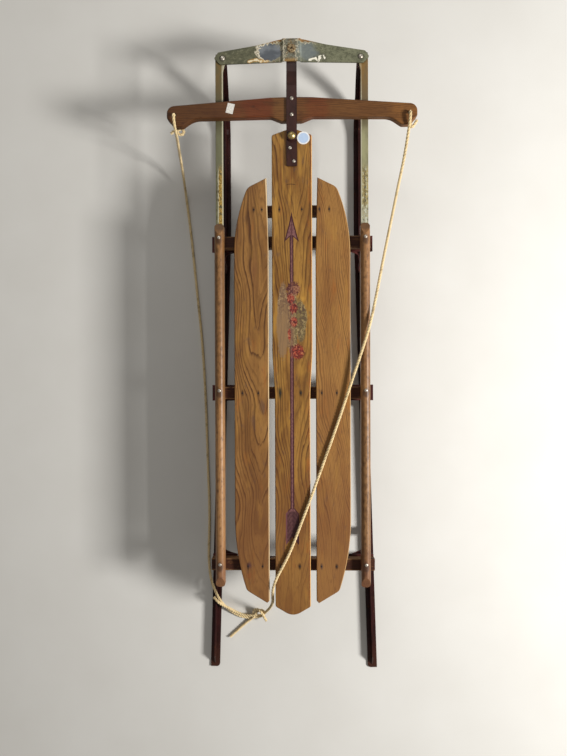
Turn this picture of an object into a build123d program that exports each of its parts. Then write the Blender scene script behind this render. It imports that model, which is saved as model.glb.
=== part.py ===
"""A steerable wooden sled on two steel runners.

Frame: millimetres, +Z up, +Y towards the front, +X towards the rider's right.
The origin lies on the floor, in the middle of the sled's length and width.
Right-hand pieces are modelled and mirrored to the left.
"""
from build123d import *
import math
import os

os.makedirs("parts", exist_ok=True)

# Overall stance
sled_length = 1420.0
front_y = sled_length / 2
tail_y = -sled_length / 2
deck_z = 160.0
press_gap = 0.3
overcut = 1.0

# Places along the sled: set back from its front end, or ahead of its tail
pivot_setback = 211.0
cleat_setback = 363.5
front_beam_setback = 429.0
rear_beam_reach = 300.0
middle_beam_y = -42.0
pivot_y = front_y - pivot_setback
cleat_y = front_y - cleat_setback
front_beam_y = front_y - front_beam_setback
rear_beam_y = tail_y + rear_beam_reach

# Runner: a T bar with its flange on the snow and its web standing on it
flange_width = 22.0
flange_thickness = 3.0
web_thickness = 3.0
web_top_z = 21.0
front_half_track = 159.0
tail_half_track = 190.0
splay_start_y = front_beam_y + 64.0
curl_radius = 138.0
curl_setback = 18.0
curl_web_angle = 74.0
curl_lean = 7.0
curl_lean_start_z = 40.0
tab_length = 20.0
tab_corner = 6.0
tail_web_slope = 26.0
tail_corner = 8.0
curl_start_y = front_y - curl_setback - curl_radius

# Wooden frame
beam_depth = 26.0
beam_thickness = 19.0
beam_edge = 1.2
front_beam_half, middle_beam_half, rear_beam_half = 168.0, 166.5, 175.0
rail_x = 154.5
rail_width = 20.0
rail_height = 20.0
rail_shoulder = 12.0
rail_front_overhang, rail_rear_overhang = 37.0, 45.0
rail_nose_length = 23.0
rail_nose_drop = 11.0
rail_end_radius = 8.0
rail_front_y = front_beam_y + rail_front_overhang
rail_rear_y = rear_beam_y - rail_rear_overhang

# Slats and the cleat that ties their front ends
slat_thickness = 12.0
slat_edge = 2.0
centre_front_half_width = 42.5
centre_rear_half_width = 37.5
centre_taper_y = 40.0
centre_taper_blend = 300.0
centre_front_reach, centre_rear_reach = 20.0, 192.0
centre_tip_front_y = pivot_y + centre_front_reach
centre_front_point = 15.0
centre_front_tip_radius = 40.0
centre_tip_rear_y = tail_y + centre_rear_reach
centre_rear_point = 22.0
centre_rear_tip_radius = 30.0
centre_shoulder_radius = 6.0
side_inner_x = 50.0
side_front_inner_x = 54.0
side_outer_x = 123.0
side_front_setback, side_front_taper = 85.0, 159.0
side_rear_reach, side_rear_taper = 221.5, 191.0
side_front_y = pivot_y - side_front_setback
side_front_corner = (side_outer_x - 28.5, side_front_y - 20.0)
side_front_corner_radius = 24.0
side_front_bulge = (side_outer_x - 8.0, side_front_y - 85.0)
side_full_width_front_y = side_front_y - side_front_taper
side_rear_tip_y = tail_y + side_rear_reach
side_full_width_rear_y = side_rear_tip_y + side_rear_taper
side_rear_bulge = (side_outer_x - 6.5, side_rear_tip_y + 100.0)
side_rear_corner = (side_outer_x - 24.5, side_rear_tip_y + 26.5)
side_rear_corner_radius = 16.0
side_rear_clip = 5.0
cleat_depth = 24.5
cleat_half = 103.0

# Front steel strips
strip_x = 155.0
strip_width = 16.0
strip_thickness = 4.0
strip_rear_y = front_beam_y - 19.0
strip_edge = 1.0
strip_end_corner = 3.0
strip_front_corner = 9.0
strip_eye_radius = 9.0
strip_eye_corner = 4.0
strip_eye_blend = 12.0

# Knees of pressed steel: a flanged horn under the beam, narrowing to a leg with an arched foot
knee_plate = 3.0
knee_flange = 2.5
knee_head_inboard = 34.0
knee_head_outboard = 20.0
knee_head_half_depth = 17.0
knee_waist_half = 4.5
knee_waist_share = 0.34
knee_horn_bow = 0.08
knee_foot_half = 40.0
knee_foot_height = 9.0
knee_foot_lap = 2.0
knee_neck_half = 15.0
knee_neck_share = 0.68
knee_spread_bow = 0.12
knee_arch_share = 0.28
knee_ear_length = 20.0
knee_ear_plate = 2.5
knee_ear_low_z = 4.0
knee_ear_high_z = 27.0

# Steering bar: its edges, as distances ahead of the pivot, and its rope holes
bar_half_length = 264.0
bar_thickness = 17.0
bar_edge = 2.5
bar_front_centre_y, bar_front_end_y = pivot_y + 83.0, pivot_y + 66.0
bar_rear_centre_y, bar_arm_rear_y, bar_end_rear_y = pivot_y + 32.0, pivot_y + 41.0, pivot_y + 22.5
bar_centre_half = 22.0
bar_hand_length = 33.0
bar_hand_clip = (17.0, 18.0)
bar_scallop_length = 24.0
bar_front_bow_radius = 60.0
bar_front_corner, bar_tip_corner, bar_rear_corner = 16.0, 9.0, 9.0
bar_scallop_radius, bar_arm_radius = 9.0, 40.0
bar_step_radius, bar_centre_radius = 20.0, 8.0
rope_hole_inset = 16.0
rope_hole_radius = 5.0
rope_hole_x, rope_hole_y = bar_half_length - rope_hole_inset, pivot_y + 46.5

# Bumper
bumper_thickness = 3.0
bumper_half_length = 165.0
bumper_centre_depth = 47.0
bumper_end_front_setback, bumper_end_rear_setback = 25.5, 51.0
bumper_rivet_inset, bumper_rivet_setback = 18.0, 38.0
bumper_front_clip, bumper_rear_clip = 8.5, 12.5
bumper_tip_radius, bumper_front_corner, bumper_rear_corner = 2.5, 6.0, 4.0
bumper_front_bend = 0.5
bumper_bend_radius, bumper_shoulder_radius = 165.0, 24.0
eyelet_setback = 21.0
eyelet_outer_radius = 5.0
eyelet_bore_radius = 2.8
eyelet_flange_radius = 9.0
eyelet_flange = 1.6
eyelet_edge = 0.8
hump_half_width = 24.0
hump_top_half_width = 18.5
hump_flank = 3.0
hump_corner = 2.0
hump_headroom = 0.7
bumper_centre_rear_y = front_y - bumper_centre_depth
bumper_end_front_y = front_y - bumper_end_front_setback
bumper_end_rear_y = front_y - bumper_end_rear_setback
bumper_rivet_x = bumper_half_length - bumper_rivet_inset
bumper_rivet_y = front_y - bumper_rivet_setback
eyelet_y = front_y - eyelet_setback
strip_front_y = bumper_rivet_y + strip_eye_radius

# Steering strap, pivot plate and pivot bolt
strap_width = 22.0
strap_thickness = 3.0
strap_bumper_gap = 0.2
strap_slope_rear_y = bar_front_centre_y + 21.0
strap_slope_front_y = bumper_centre_rear_y - 22.0
strap_rear_reach = 9.5
strap_tip_wall = 4.0
strap_tip_radius = 7.0
slot_side_gap = 0.5
slot_extra_length = 3.2
pivot_plate_width = 22.5
pivot_plate_thickness = 3.0
pivot_plate_tail = 62.0
pivot_plate_corner = 3.0
pivot_boss_radius = 10.5
pivot_bolt_radius = 4.0
pivot_running_gap = 0.08
pivot_nut_radius, pivot_nut_height = 7.0, 5.0
pivot_bolt_point = 3.0
dome_radius = 8.5
dome_height = 6.5

# Pull rope
rope_diameter = 6.5
knot_corner = 5.0
knot_centre, knot_size = (-77.5, -582.0, 12.0), (26.0, 20.0, 22.0)
stopper_right_centre, stopper_right_size = (248.0, 546.0, 146.0), (22.0, 20.0, 24.0)
stopper_left_centre, stopper_left_size = (-250.5, 540.0, 122.0), (26.0, 20.0, 24.0)
arc_share = 0.45

slat_top_z = deck_z + slat_thickness
bar_low_z = deck_z + press_gap
bar_top_z = bar_low_z + bar_thickness
strap_high_z = bar_top_z + press_gap
plate_top_z = slat_top_z + pivot_plate_thickness
strip_low_z = deck_z - strip_thickness
bumper_low_z = deck_z + press_gap
bumper_top_z = bumper_low_z + bumper_thickness
strap_low_z = bumper_low_z + strap_bumper_gap
hump_ceiling_z = strap_low_z + strap_thickness + hump_headroom
hump_top_z = hump_ceiling_z + bumper_thickness
splay = math.atan2(tail_half_track - front_half_track, splay_start_y - tail_y)


def track(y):
    """Half track of the runner's web at a place along the sled."""
    return front_half_track + max(0.0, splay_start_y - y) * math.tan(splay)


def mirrored(shape):
    """The left-hand twin of a right-hand piece."""
    return mirror(shape, about=Plane.YZ)


def slab(face, low_z, high_z):
    """A plan outline made solid between two heights."""
    return Pos(0, 0, low_z) * extrude(face, amount=high_z - low_z, dir=(0, 0, 1))


def across(face, centre_x, width):
    """A side-view outline on Plane.YZ made solid across the sled."""
    return Pos(centre_x, 0, 0) * extrude(face, amount=width / 2, both=True)


def bowed(start, end, share):
    """An arc whose rise is a share of its chord, to the left of its direction."""
    a = Vector(*start)
    b = Vector(*end)
    chord = b - a
    middle = (a + b) * 0.5 + Vector(-chord.Y, chord.X) * share
    return ThreePointArc(a, middle, b)


def outline(points, radii):
    """A closed face through points, each corner rounded by its own radius."""
    return make_face(FilletPolyline(*points, radius=radii, close=True))


def runner_plan(half_width, rear_end_y, front_end_y):
    """Plan outline of one layer of the right runner: straight in front, splayed behind."""
    kink = Vector(front_half_track, splay_start_y)
    side = Vector(math.cos(splay), math.sin(splay)) * half_width
    bend = half_width * math.tan(splay / 2)
    tail = Vector(track(rear_end_y), rear_end_y)
    points = [
        tail - side,
        (kink.X - half_width, kink.Y - bend),
        (kink.X - half_width, front_end_y),
        (kink.X + half_width, front_end_y),
        (kink.X + half_width, kink.Y + bend),
        tail + side,
    ]
    return make_face(Polyline(*points, close=True))


def curl_layer(outer, inner, sweep):
    """Side view of one layer of the front curl, between two depths inside its sole line."""
    ring = Sketch() + Circle(curl_radius - outer) - Circle(curl_radius - inner)
    end = math.radians(sweep)
    reach = 2 * curl_radius
    wedge = make_face(
        Polyline(
            (0, 0),
            (0, -reach),
            (reach, -reach),
            (reach * math.sin(end), -reach * math.cos(end)),
            close=True,
        )
    )
    return Plane.YZ * Pos(curl_start_y, curl_radius) * (ring & wedge)


def lean_band(half_width):
    """Front view of one layer of the curl: upright at the sole, then leaning in towards the bumper."""
    outer = [
        (front_half_track + half_width, -overcut),
        (front_half_track + half_width, curl_lean_start_z),
        (front_half_track + half_width - curl_lean, strip_low_z),
        (front_half_track + half_width - curl_lean, strip_low_z + overcut),
    ]
    inner = [(x - 2 * half_width, z) for x, z in reversed(outer)]
    face = Plane.XZ * make_face(Polyline(*outer, *inner, close=True))
    return Pos(0, front_y, 0) * extrude(face, amount=front_y, dir=(0, -1, 0))


def runner():
    """The right runner in one piece: flat T bar, leaning front curl and the tab under the bumper."""
    half = flange_width / 2
    flange = slab(runner_plan(half, tail_y, curl_start_y), 0, flange_thickness)
    flange = fillet(flange.edges().filter_by(Axis.Z).group_by(Axis.Y)[0], tail_corner)
    web_end_y = tail_y + tail_corner
    web = slab(runner_plan(web_thickness / 2, web_end_y, curl_start_y), 0, web_top_z)
    slope_cut = make_face(
        Polyline(
            (web_end_y - overcut, flange_thickness),
            (web_end_y - overcut, web_top_z + overcut),
            (web_end_y + tail_web_slope, web_top_z + overcut),
            close=True,
        )
    )
    web -= across(Plane.YZ * slope_cut, tail_half_track, 2 * flange_width)

    tab_radius = strip_low_z - curl_radius
    tab_front_y = curl_start_y + curl_radius - tab_radius
    turn = Sketch() + Circle(tab_radius) - Circle(tab_radius - flange_thickness)
    turn &= Pos(tab_radius / 2, tab_radius / 2) * Rectangle(tab_radius, tab_radius)
    turn = Plane.YZ * Pos(tab_front_y, curl_radius) * turn
    wide = flange_width + 2 * curl_lean
    sole = across(curl_layer(0, flange_thickness, 90), front_half_track, wide)
    sole += across(turn, front_half_track, wide)
    rib = across(curl_layer(0, web_top_z, curl_web_angle), front_half_track, wide)
    curl = (sole & lean_band(half)) + (rib & lean_band(web_thickness / 2))

    tab = Pos(front_half_track - curl_lean, tab_front_y - tab_length / 2) * Rectangle(flange_width, tab_length)
    tab = fillet(tab.vertices().group_by(Axis.Y)[0], tab_corner)
    curl += slab(tab, strip_low_z - flange_thickness, strip_low_z)
    return flange + web + curl


def front_strip():
    """The right steel strip, with an inward eye over the runner's tab."""
    inner = strip_x - strip_width / 2
    outer = strip_x + strip_width / 2
    eye = strip_eye_radius
    points = [
        (outer, strip_rear_y),
        (outer, strip_front_y),
        (bumper_rivet_x - eye / 2, strip_front_y),
        (bumper_rivet_x - eye, bumper_rivet_y),
        (bumper_rivet_x - eye / 2, bumper_rivet_y - eye),
        (inner, bumper_rivet_y - 3 * eye),
        (inner, strip_rear_y),
    ]
    radii = [
        strip_end_corner,
        strip_front_corner,
        strip_eye_corner,
        strip_eye_corner,
        strip_eye_corner,
        strip_eye_blend,
        strip_end_corner,
    ]
    body = slab(outline(points, radii), strip_low_z, deck_z)
    return fillet(body.edges().group_by(Axis.Z)[-1], strip_edge)


def cross_beam(centre_y, half_length, top_z):
    """One wooden beam with eased edges."""
    body = Pos(0, centre_y, top_z - beam_thickness / 2) * Box(2 * half_length, beam_depth, beam_thickness)
    return chamfer(body.edges(), beam_edge)


def side_rail():
    """The right rail: flat below, round on top, its ends rounded in plan and sloped down."""
    half = rail_width / 2
    section = make_face(
        Polyline((half, rail_shoulder), (half, 0), (-half, 0), (-half, rail_shoulder))
        + ThreePointArc((-half, rail_shoulder), (0, rail_height), (half, rail_shoulder))
    )
    length = rail_front_y - rail_rear_y
    body = Pos(rail_x, rail_front_y, deck_z) * extrude(Plane.XZ * section, amount=length, dir=(0, -1, 0))
    body = fillet(body.edges().filter_by(Axis.Z), rail_end_radius)
    top_z = deck_z + rail_height
    for end_y, way in ((rail_front_y, -1), (rail_rear_y, 1)):
        nose = make_face(
            Polyline(
                (end_y, top_z - rail_nose_drop),
                (end_y, top_z + overcut),
                (end_y + way * rail_nose_length, top_z + overcut),
                (end_y + way * rail_nose_length, top_z),
                close=True,
            )
        )
        body -= across(Plane.YZ * nose, rail_x, 2 * rail_width)
    return body


def centre_slat():
    """The centre slat: a touch narrower behind, with blunt pointed ends."""
    front = centre_front_half_width
    rear = centre_rear_half_width
    right = [
        (0, centre_tip_rear_y),
        (rear, centre_tip_rear_y + centre_rear_point),
        (rear, -centre_taper_y),
        (front, centre_taper_y),
        (front, centre_tip_front_y - centre_front_point),
        (0, centre_tip_front_y),
    ]
    left = [(-x, y) for x, y in reversed(right[1:-1])]
    side = [centre_shoulder_radius, centre_taper_blend, centre_taper_blend, centre_shoulder_radius]
    radii = [centre_rear_tip_radius, *side, centre_front_tip_radius, *side]
    body = slab(outline(right + left, radii), deck_z, slat_top_z)
    return fillet(body.edges().group_by(Axis.Z)[-1], slat_edge)


def side_slat():
    """The right slat: curved in at the front, tapered and clipped behind."""
    front_edge = Polyline(
        (side_inner_x, side_rear_tip_y + side_rear_clip),
        (side_inner_x, side_full_width_front_y),
        (side_front_inner_x, side_front_y),
        side_front_corner,
    )
    front_curve = ThreePointArc(
        side_front_corner, side_front_bulge, (side_outer_x, side_full_width_front_y)
    )
    outer = Line((side_outer_x, side_full_width_front_y), (side_outer_x, side_full_width_rear_y))
    rear_curve = ThreePointArc((side_outer_x, side_full_width_rear_y), side_rear_bulge, side_rear_corner)
    rear_edge = Polyline(
        side_rear_corner,
        (side_inner_x + side_rear_clip, side_rear_tip_y),
        (side_inner_x, side_rear_tip_y + side_rear_clip),
    )
    face = make_face(front_edge + front_curve + outer + rear_curve + rear_edge)
    corners = face.vertices()
    face = fillet(corners.sort_by_distance((*side_front_corner, 0))[0], side_front_corner_radius)
    corners = face.vertices()
    face = fillet(corners.sort_by_distance((*side_rear_corner, 0))[0], side_rear_corner_radius)
    body = slab(face, deck_z, slat_top_z)
    return fillet(body.edges().group_by(Axis.Z)[-1], slat_edge)


def cleat():
    """The short cleat that ties the slats' front ends from below."""
    body = Pos(0, cleat_y, deck_z - slat_thickness / 2) * Box(2 * cleat_half, cleat_depth, slat_thickness)
    return chamfer(body.edges(), beam_edge)


def knee(beam_y, beam_low_z):
    """A right knee: a flanged horn under the beam, a leg leaning out, and an arched foot on the runner."""
    foot_x = track(beam_y) - web_thickness / 2 - knee_ear_plate / 2
    foot_z = knee_ear_high_z - knee_foot_lap
    rise = beam_low_z - foot_z
    inboard = rail_x - knee_head_inboard
    outboard = rail_x + knee_head_outboard
    waist_x = foot_x + (rail_x - foot_x) * knee_waist_share
    waist_z = foot_z + rise * knee_waist_share

    def horn(wall):
        """Front view of the horn, or of the pocket that lies a wall inside it."""
        top_z = beam_low_z - wall
        slant = math.hypot(waist_x - inboard, rise) / rise
        run = wall * slant
        waist_in = (waist_x - knee_waist_half + run, waist_z)
        waist_out = (waist_x + knee_waist_half - run, waist_z)
        return make_face(
            Line((outboard - run, top_z), (inboard + run, top_z))
            + bowed((inboard + run, top_z), waist_in, knee_horn_bow)
            + Line(waist_in, waist_out)
            + bowed(waist_out, (outboard - run, top_z), knee_horn_bow)
        )

    body = Pos(0, beam_y, 0) * extrude(Plane.XZ * horn(0), amount=knee_foot_half, both=True)
    pocket = extrude(Plane.XZ * horn(knee_flange), amount=knee_foot_half)
    for end in (-1, 1):
        outer_y = beam_y + end * (knee_foot_half + knee_plate) / 2 + knee_foot_half / 2
        body -= Pos(0, outer_y, 0) * pocket

    leg = Vector(waist_x - foot_x, 0, waist_z - foot_z)
    up = leg.normalized()
    leg_plane = Plane(origin=(foot_x, beam_y, foot_z), x_dir=(0, 1, 0), z_dir=(up.Z, 0, -up.X))
    leg_plate = Pos(0, leg.length / 2, 0) * Box(2 * knee_foot_half, leg.length + knee_flange, knee_plate)
    body += leg_plane * leg_plate

    foot_in = knee_foot_half - knee_ear_length
    foot_top_z = foot_z + knee_foot_height
    neck_z = foot_z + rise * knee_neck_share
    arch_top_z = foot_z + rise * knee_arch_share
    head = knee_head_half_depth
    foot_low_z = foot_z - overcut
    side_view = make_face(
        Polyline((-knee_foot_half, foot_low_z), (knee_foot_half, foot_low_z), (knee_foot_half, foot_top_z))
        + bowed((knee_foot_half, foot_top_z), (knee_neck_half, neck_z), knee_spread_bow)
        + Polyline((knee_neck_half, neck_z), (head, beam_low_z), (-head, beam_low_z), (-knee_neck_half, neck_z))
        + bowed((-knee_neck_half, neck_z), (-knee_foot_half, foot_top_z), knee_spread_bow)
        + Line((-knee_foot_half, foot_top_z), (-knee_foot_half, foot_low_z))
    )
    arch = make_face(
        Line((-foot_in, foot_low_z - overcut), (-foot_in, foot_top_z))
        + ThreePointArc((-foot_in, foot_top_z), (0, arch_top_z), (foot_in, foot_top_z))
        + Line((foot_in, foot_top_z), (foot_in, foot_low_z - overcut))
        + Line((foot_in, foot_low_z - overcut), (-foot_in, foot_low_z - overcut))
    )
    body &= Pos(0, beam_y, 0) * across(Plane.YZ * (side_view - arch), waist_x, 4 * knee_foot_half)

    face_x = web_thickness / 2 / math.cos(splay)
    for end in (-1, 1):
        far = beam_y + end * knee_foot_half
        near = beam_y + end * foot_in
        ear = Polyline(
            (track(near) - face_x, near),
            (track(far) - face_x, far),
            (track(far) - face_x - knee_ear_plate, far),
            (track(near) - face_x - knee_ear_plate, near),
            close=True,
        )
        body += slab(make_face(ear), knee_ear_low_z, knee_ear_high_z)
    return body


def pivot_plate():
    """The steel plate on the centre slat, with a raised seat round the pivot."""
    half = pivot_plate_width / 2
    front = pivot_y + half
    rear = pivot_y - pivot_plate_tail
    nose = half - overcut
    points = [(half, rear), (half, front), (-half, front), (-half, rear)]
    body = slab(outline(points, [pivot_plate_corner, nose, nose, pivot_plate_corner]), slat_top_z, plate_top_z)
    boss_top_z = strap_high_z - press_gap
    body += Pos(0, pivot_y, (plate_top_z + boss_top_z) / 2) * Cylinder(
        pivot_boss_radius, boss_top_z - plate_top_z
    )
    return body - pivot_hole(pivot_bolt_radius)


def pivot_hole(radius):
    """A cutting cylinder on the pivot's axis, through everything there."""
    return Pos(0, pivot_y, deck_z) * Cylinder(radius, deck_z)


def pivot_bolt():
    """The pivot bolt: a domed head, its shank through strap, plate and slat, and a nut below."""
    head_z = strap_high_z + strap_thickness + press_gap
    shank_low = deck_z - pivot_nut_height - pivot_bolt_point
    ball_radius = (dome_radius**2 + dome_height**2) / (2 * dome_height)
    ball = Pos(0, pivot_y, head_z + dome_height - ball_radius) * Sphere(ball_radius)
    block = Box(4 * dome_radius, 4 * dome_radius, dome_height)
    cap = ball & (Pos(0, pivot_y, head_z + dome_height / 2) * block)
    shank = Pos(0, pivot_y, (shank_low + head_z) / 2) * Cylinder(pivot_bolt_radius, head_z - shank_low)
    nut = extrude(RegularPolygon(pivot_nut_radius, 6), amount=pivot_nut_height)
    return cap + shank + Pos(0, pivot_y, deck_z - pivot_nut_height) * nut


def steering_bar():
    """The wooden bar: deep in the middle, scalloped behind each arm, its hand ends clipped behind."""
    hand_x = bar_half_length - bar_hand_length
    clip_x, clip_y = bar_hand_clip
    shoulder = 2 * bar_centre_half
    right = [
        (0, bar_front_centre_y),
        (shoulder, bar_front_centre_y - overcut),
        (bar_half_length, bar_front_end_y),
        (bar_half_length, bar_end_rear_y + clip_y),
        (bar_half_length - clip_x, bar_end_rear_y),
        (hand_x, bar_end_rear_y),
        (hand_x - bar_scallop_length, bar_arm_rear_y - 2 * overcut),
        (shoulder, bar_arm_rear_y),
        (bar_centre_half, bar_rear_centre_y),
        (0, bar_rear_centre_y),
    ]
    radii = [
        bar_front_bow_radius,
        bar_front_corner,
        bar_tip_corner,
        bar_rear_corner,
        bar_scallop_radius,
        bar_arm_radius,
        bar_step_radius,
        bar_centre_radius,
    ]
    half = make_face(FilletPolyline(*right, radius=radii) + Line(right[-1], right[0]))
    body = slab(half + mirrored(half), bar_low_z, bar_top_z)
    for x in (-rope_hole_x, rope_hole_x):
        body -= Pos(x, rope_hole_y, bar_low_z) * Cylinder(rope_hole_radius, 4 * bar_thickness)
    holes = body.edges().filter_by(GeomType.CIRCLE).filter_by(lambda edge: edge.radius == rope_hole_radius)
    return fillet(body.edges().filter_by(Plane.XY) - holes, bar_edge)


def steering_strap():
    """The flat steel strap: level on the bar, sloped down to the slot under the bumper."""
    rear_y = pivot_y - strap_rear_reach
    tip_y = eyelet_y + eyelet_outer_radius + slot_extra_length + strap_tip_wall
    high = strap_high_z
    low = strap_low_z
    thick = strap_thickness
    side = make_face(
        Polyline(
            (rear_y, high),
            (strap_slope_rear_y, high),
            (strap_slope_front_y, low),
            (tip_y, low),
            (tip_y, low + thick),
            (strap_slope_front_y + overcut, low + thick),
            (strap_slope_rear_y + overcut, high + thick),
            (rear_y, high + thick),
            close=True,
        )
    )
    band = across(Plane.YZ * side, 0, strap_width)
    half = strap_width / 2
    rear_round = strap_rear_reach
    plan = [(half, rear_y), (half, tip_y), (-half, tip_y), (-half, rear_y)]
    radii = [rear_round, strap_tip_radius, strap_tip_radius, rear_round]
    band &= slab(outline(plan, radii), 0, 2 * deck_z)
    slot_half = eyelet_outer_radius + slot_side_gap
    slot = SlotCenterToCenter(slot_extra_length, 2 * slot_half, rotation=90)
    band -= slab(Pos(0, eyelet_y + slot_extra_length / 2) * slot, 0, 2 * deck_z)
    return band - pivot_hole(pivot_bolt_radius + pivot_running_gap)


def bumper_plan():
    """Plan outline of the bumper: straight tapers to both ends, each a blunt point beside its rivet."""
    tip = bumper_half_length
    bend_x = bumper_rivet_x * bumper_front_bend
    bend_y = front_y - (front_y - bumper_end_front_y) * bumper_front_bend + overcut
    right = [
        (0, bumper_centre_rear_y),
        (tip - bumper_rear_clip, bumper_end_rear_y),
        (tip, bumper_rivet_y),
        (tip - bumper_front_clip, bumper_end_front_y),
        (bend_x, bend_y),
        (hump_half_width, front_y),
        (0, front_y),
    ]
    radii = [bumper_rear_corner, bumper_tip_radius, bumper_front_corner, bumper_bend_radius, bumper_shoulder_radius]
    half = make_face(FilletPolyline(*right, radius=radii) + Line(right[-1], right[0]))
    return half + mirrored(half)


def hump_channel(base, top, height):
    """The raised channel as a bar along the sled: a low arch with sloped flanks in front view."""
    points = [(-base, 0), (base, 0), (top, height), (-top, height)]
    section = make_face(FilletPolyline(*points, radius=[0.0, 0.0, hump_corner, hump_corner], close=True))
    start = front_y + overcut
    length = start - bumper_end_rear_y + overcut
    return Pos(0, start, bumper_low_z) * extrude(Plane.XZ * section, amount=length, dir=(0, -1, 0))


def bumper():
    """The bumper plate with a raised channel in the middle that the strap runs under."""
    plan = bumper_plan()
    outer = hump_channel(hump_half_width, hump_top_half_width, hump_top_z - bumper_low_z)
    tunnel = hump_channel(
        hump_half_width - hump_flank, hump_top_half_width - hump_flank / 2, hump_ceiling_z - bumper_low_z
    )
    body = slab(plan, bumper_low_z, bumper_top_z) + (outer & slab(plan, 0, 2 * deck_z))
    body -= tunnel
    return body - Pos(0, eyelet_y, hump_top_z) * Cylinder(eyelet_outer_radius, deck_z)


def eyelet():
    """The tubular rivet that pins the strap's slot under the bumper."""
    low = strap_low_z - press_gap - eyelet_flange
    high = hump_top_z + eyelet_flange
    body = Pos(0, eyelet_y, (low + high) / 2) * Cylinder(eyelet_outer_radius, high - low)
    for z in (low + eyelet_flange / 2, high - eyelet_flange / 2):
        body += Pos(0, eyelet_y, z) * Cylinder(eyelet_flange_radius, eyelet_flange)
    body = chamfer(body.edges().group_by(Axis.Z)[-1], eyelet_edge)
    return body - Pos(0, eyelet_y, deck_z) * Cylinder(eyelet_bore_radius, deck_z)


def rope_tube(points):
    """A plain round tube along a route of straight runs joined by arcs."""
    route = [Vector(*p) for p in points]
    radii = []
    for before, corner, after in zip(route, route[1:], route[2:]):
        back = corner - before
        ahead = after - corner
        turn = math.radians(back.get_angle(ahead))
        radii.append(arc_share * min(back.length, ahead.length) / math.tan(turn / 2))
    path = FilletPolyline(*route, radius=radii)
    start = Plane(origin=path @ 0, z_dir=path % 0)
    tube = sweep(start * Circle(rope_diameter / 2), path=path)
    section = math.pi * rope_diameter**2 / 4
    print("rope length", round(path.length, 1), "volume ratio", round(tube.volume / (section * path.length), 4))
    print("rope radii", [round(r, 1) for r in radii])
    return tube


# The rope's right part, from the stopper knot up through the bar and back over rail and slats to the knot
rope_right_route = [
    (248.0, 546.0, 158.4),
    (248.3, 545.4, 170.0),
    (248.0, 545.3, 187.5),
    (246.6, 524.0, 184.5),
    (244.5, 500.0, 173.0),
    (239.0, 455.0, 158.0),
    (228.4, 402.0, 149.0),
    (218.0, 349.0, 146.0),
    (204.5, 287.0, 151.0),
    (189.0, 217.0, 163.0),
    (176.0, 158.0, 177.0),
    (162.5, 101.0, 187.5),
    (145.0, 46.0, 187.0),
    (115.0, -46.0, 177.5),
    (90.5, -119.0, 176.0),
    (62.0, -197.0, 176.5),
    (35.0, -272.0, 176.0),
    (14.0, -326.0, 176.2),
    (-3.0, -371.0, 176.0),
    (-20.5, -407.0, 176.5),
    (-35.0, -432.0, 177.0),
    (-43.4, -457.0, 176.0),
    (-44.0, -479.0, 161.0),
    (-44.6, -500.0, 131.0),
    (-48.5, -523.0, 95.0),
    (-55.0, -546.0, 58.0),
    (-63.0, -565.0, 27.0),
    (-70.0, -577.0, 13.0),
]

# The rope's left part, from the knot over the runner's tail and along the floor up to the bar
rope_left_route = [
    (-83.0, -586.0, 9.0),
    (-100.7, -591.0, 3.6),
    (-123.8, -589.8, 3.4),
    (-145.4, -579.6, 3.6),
    (-163.1, -563.8, 10.0),
    (-176.1, -539.5, 27.0),
    (-187.7, -514.0, 29.5),
    (-198.0, -493.3, 17.0),
    (-204.2, -465.3, 3.8),
    (-205.3, -424.0, 3.4),
    (-203.0, -370.0, 3.4),
    (-203.4, -300.0, 3.4),
    (-206.2, -225.0, 3.4),
    (-208.3, -150.0, 3.4),
    (-210.8, -70.0, 3.4),
    (-214.5, 10.0, 3.4),
    (-220.4, 95.0, 3.4),
    (-229.1, 180.0, 3.4),
    (-236.3, 253.0, 3.4),
    (-243.2, 323.0, 3.4),
    (-250.7, 386.0, 3.8),
    (-255.2, 427.0, 10.0),
    (-257.1, 458.0, 24.0),
    (-257.4, 481.0, 46.0),
    (-256.0, 496.0, 76.0),
    (-252.8, 504.5, 110.0),
    (-249.3, 510.0, 140.0),
    (-247.2, 512.5, 164.0),
    (-246.3, 518.5, 181.0),
    (-246.6, 530.5, 187.0),
    (-248.0, 545.4, 187.8),
    (-248.3, 545.3, 167.0),
    (-249.3, 543.0, 150.0),
    (-250.5, 541.0, 135.0),
]


def knot(centre, size):
    """A plain closed stand-in for a tied knot."""
    body = Box(*size)
    return Pos(*centre) * chamfer(body.edges(), knot_corner)


right_runner = runner()
right_strip = front_strip()
right_rail = side_rail()
right_slat = side_slat()

nodes = {
    "runner_right": right_runner,
    "runner_left": mirrored(right_runner),
    "front_strip_right": right_strip,
    "front_strip_left": mirrored(right_strip),
    "side_rail_right": right_rail,
    "side_rail_left": mirrored(right_rail),
    "cross_beam_front": cross_beam(front_beam_y, front_beam_half, strip_low_z),
    "cross_beam_middle": cross_beam(middle_beam_y, middle_beam_half, deck_z),
    "cross_beam_rear": cross_beam(rear_beam_y, rear_beam_half, deck_z),
    "front_cleat": cleat(),
    "slat_centre": centre_slat() - pivot_hole(pivot_bolt_radius),
    "slat_right": right_slat,
    "slat_left": mirrored(right_slat),
    "pivot_plate": pivot_plate(),
    "pivot_bolt": pivot_bolt(),
    "steering_bar": steering_bar(),
    "steering_strap": steering_strap(),
    "bumper": bumper(),
    "bumper_eyelet": eyelet(),
    "rope_right": rope_tube(rope_right_route),
    "rope_left": rope_tube(rope_left_route),
    "rope_knot": knot(knot_centre, knot_size),
    "rope_stopper_right": knot(stopper_right_centre, stopper_right_size),
    "rope_stopper_left": knot(stopper_left_centre, stopper_left_size),
}
knee_table = (
    ("front", front_beam_y, strip_low_z),
    ("middle", middle_beam_y, deck_z),
    ("rear", rear_beam_y, deck_z),
)
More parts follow.
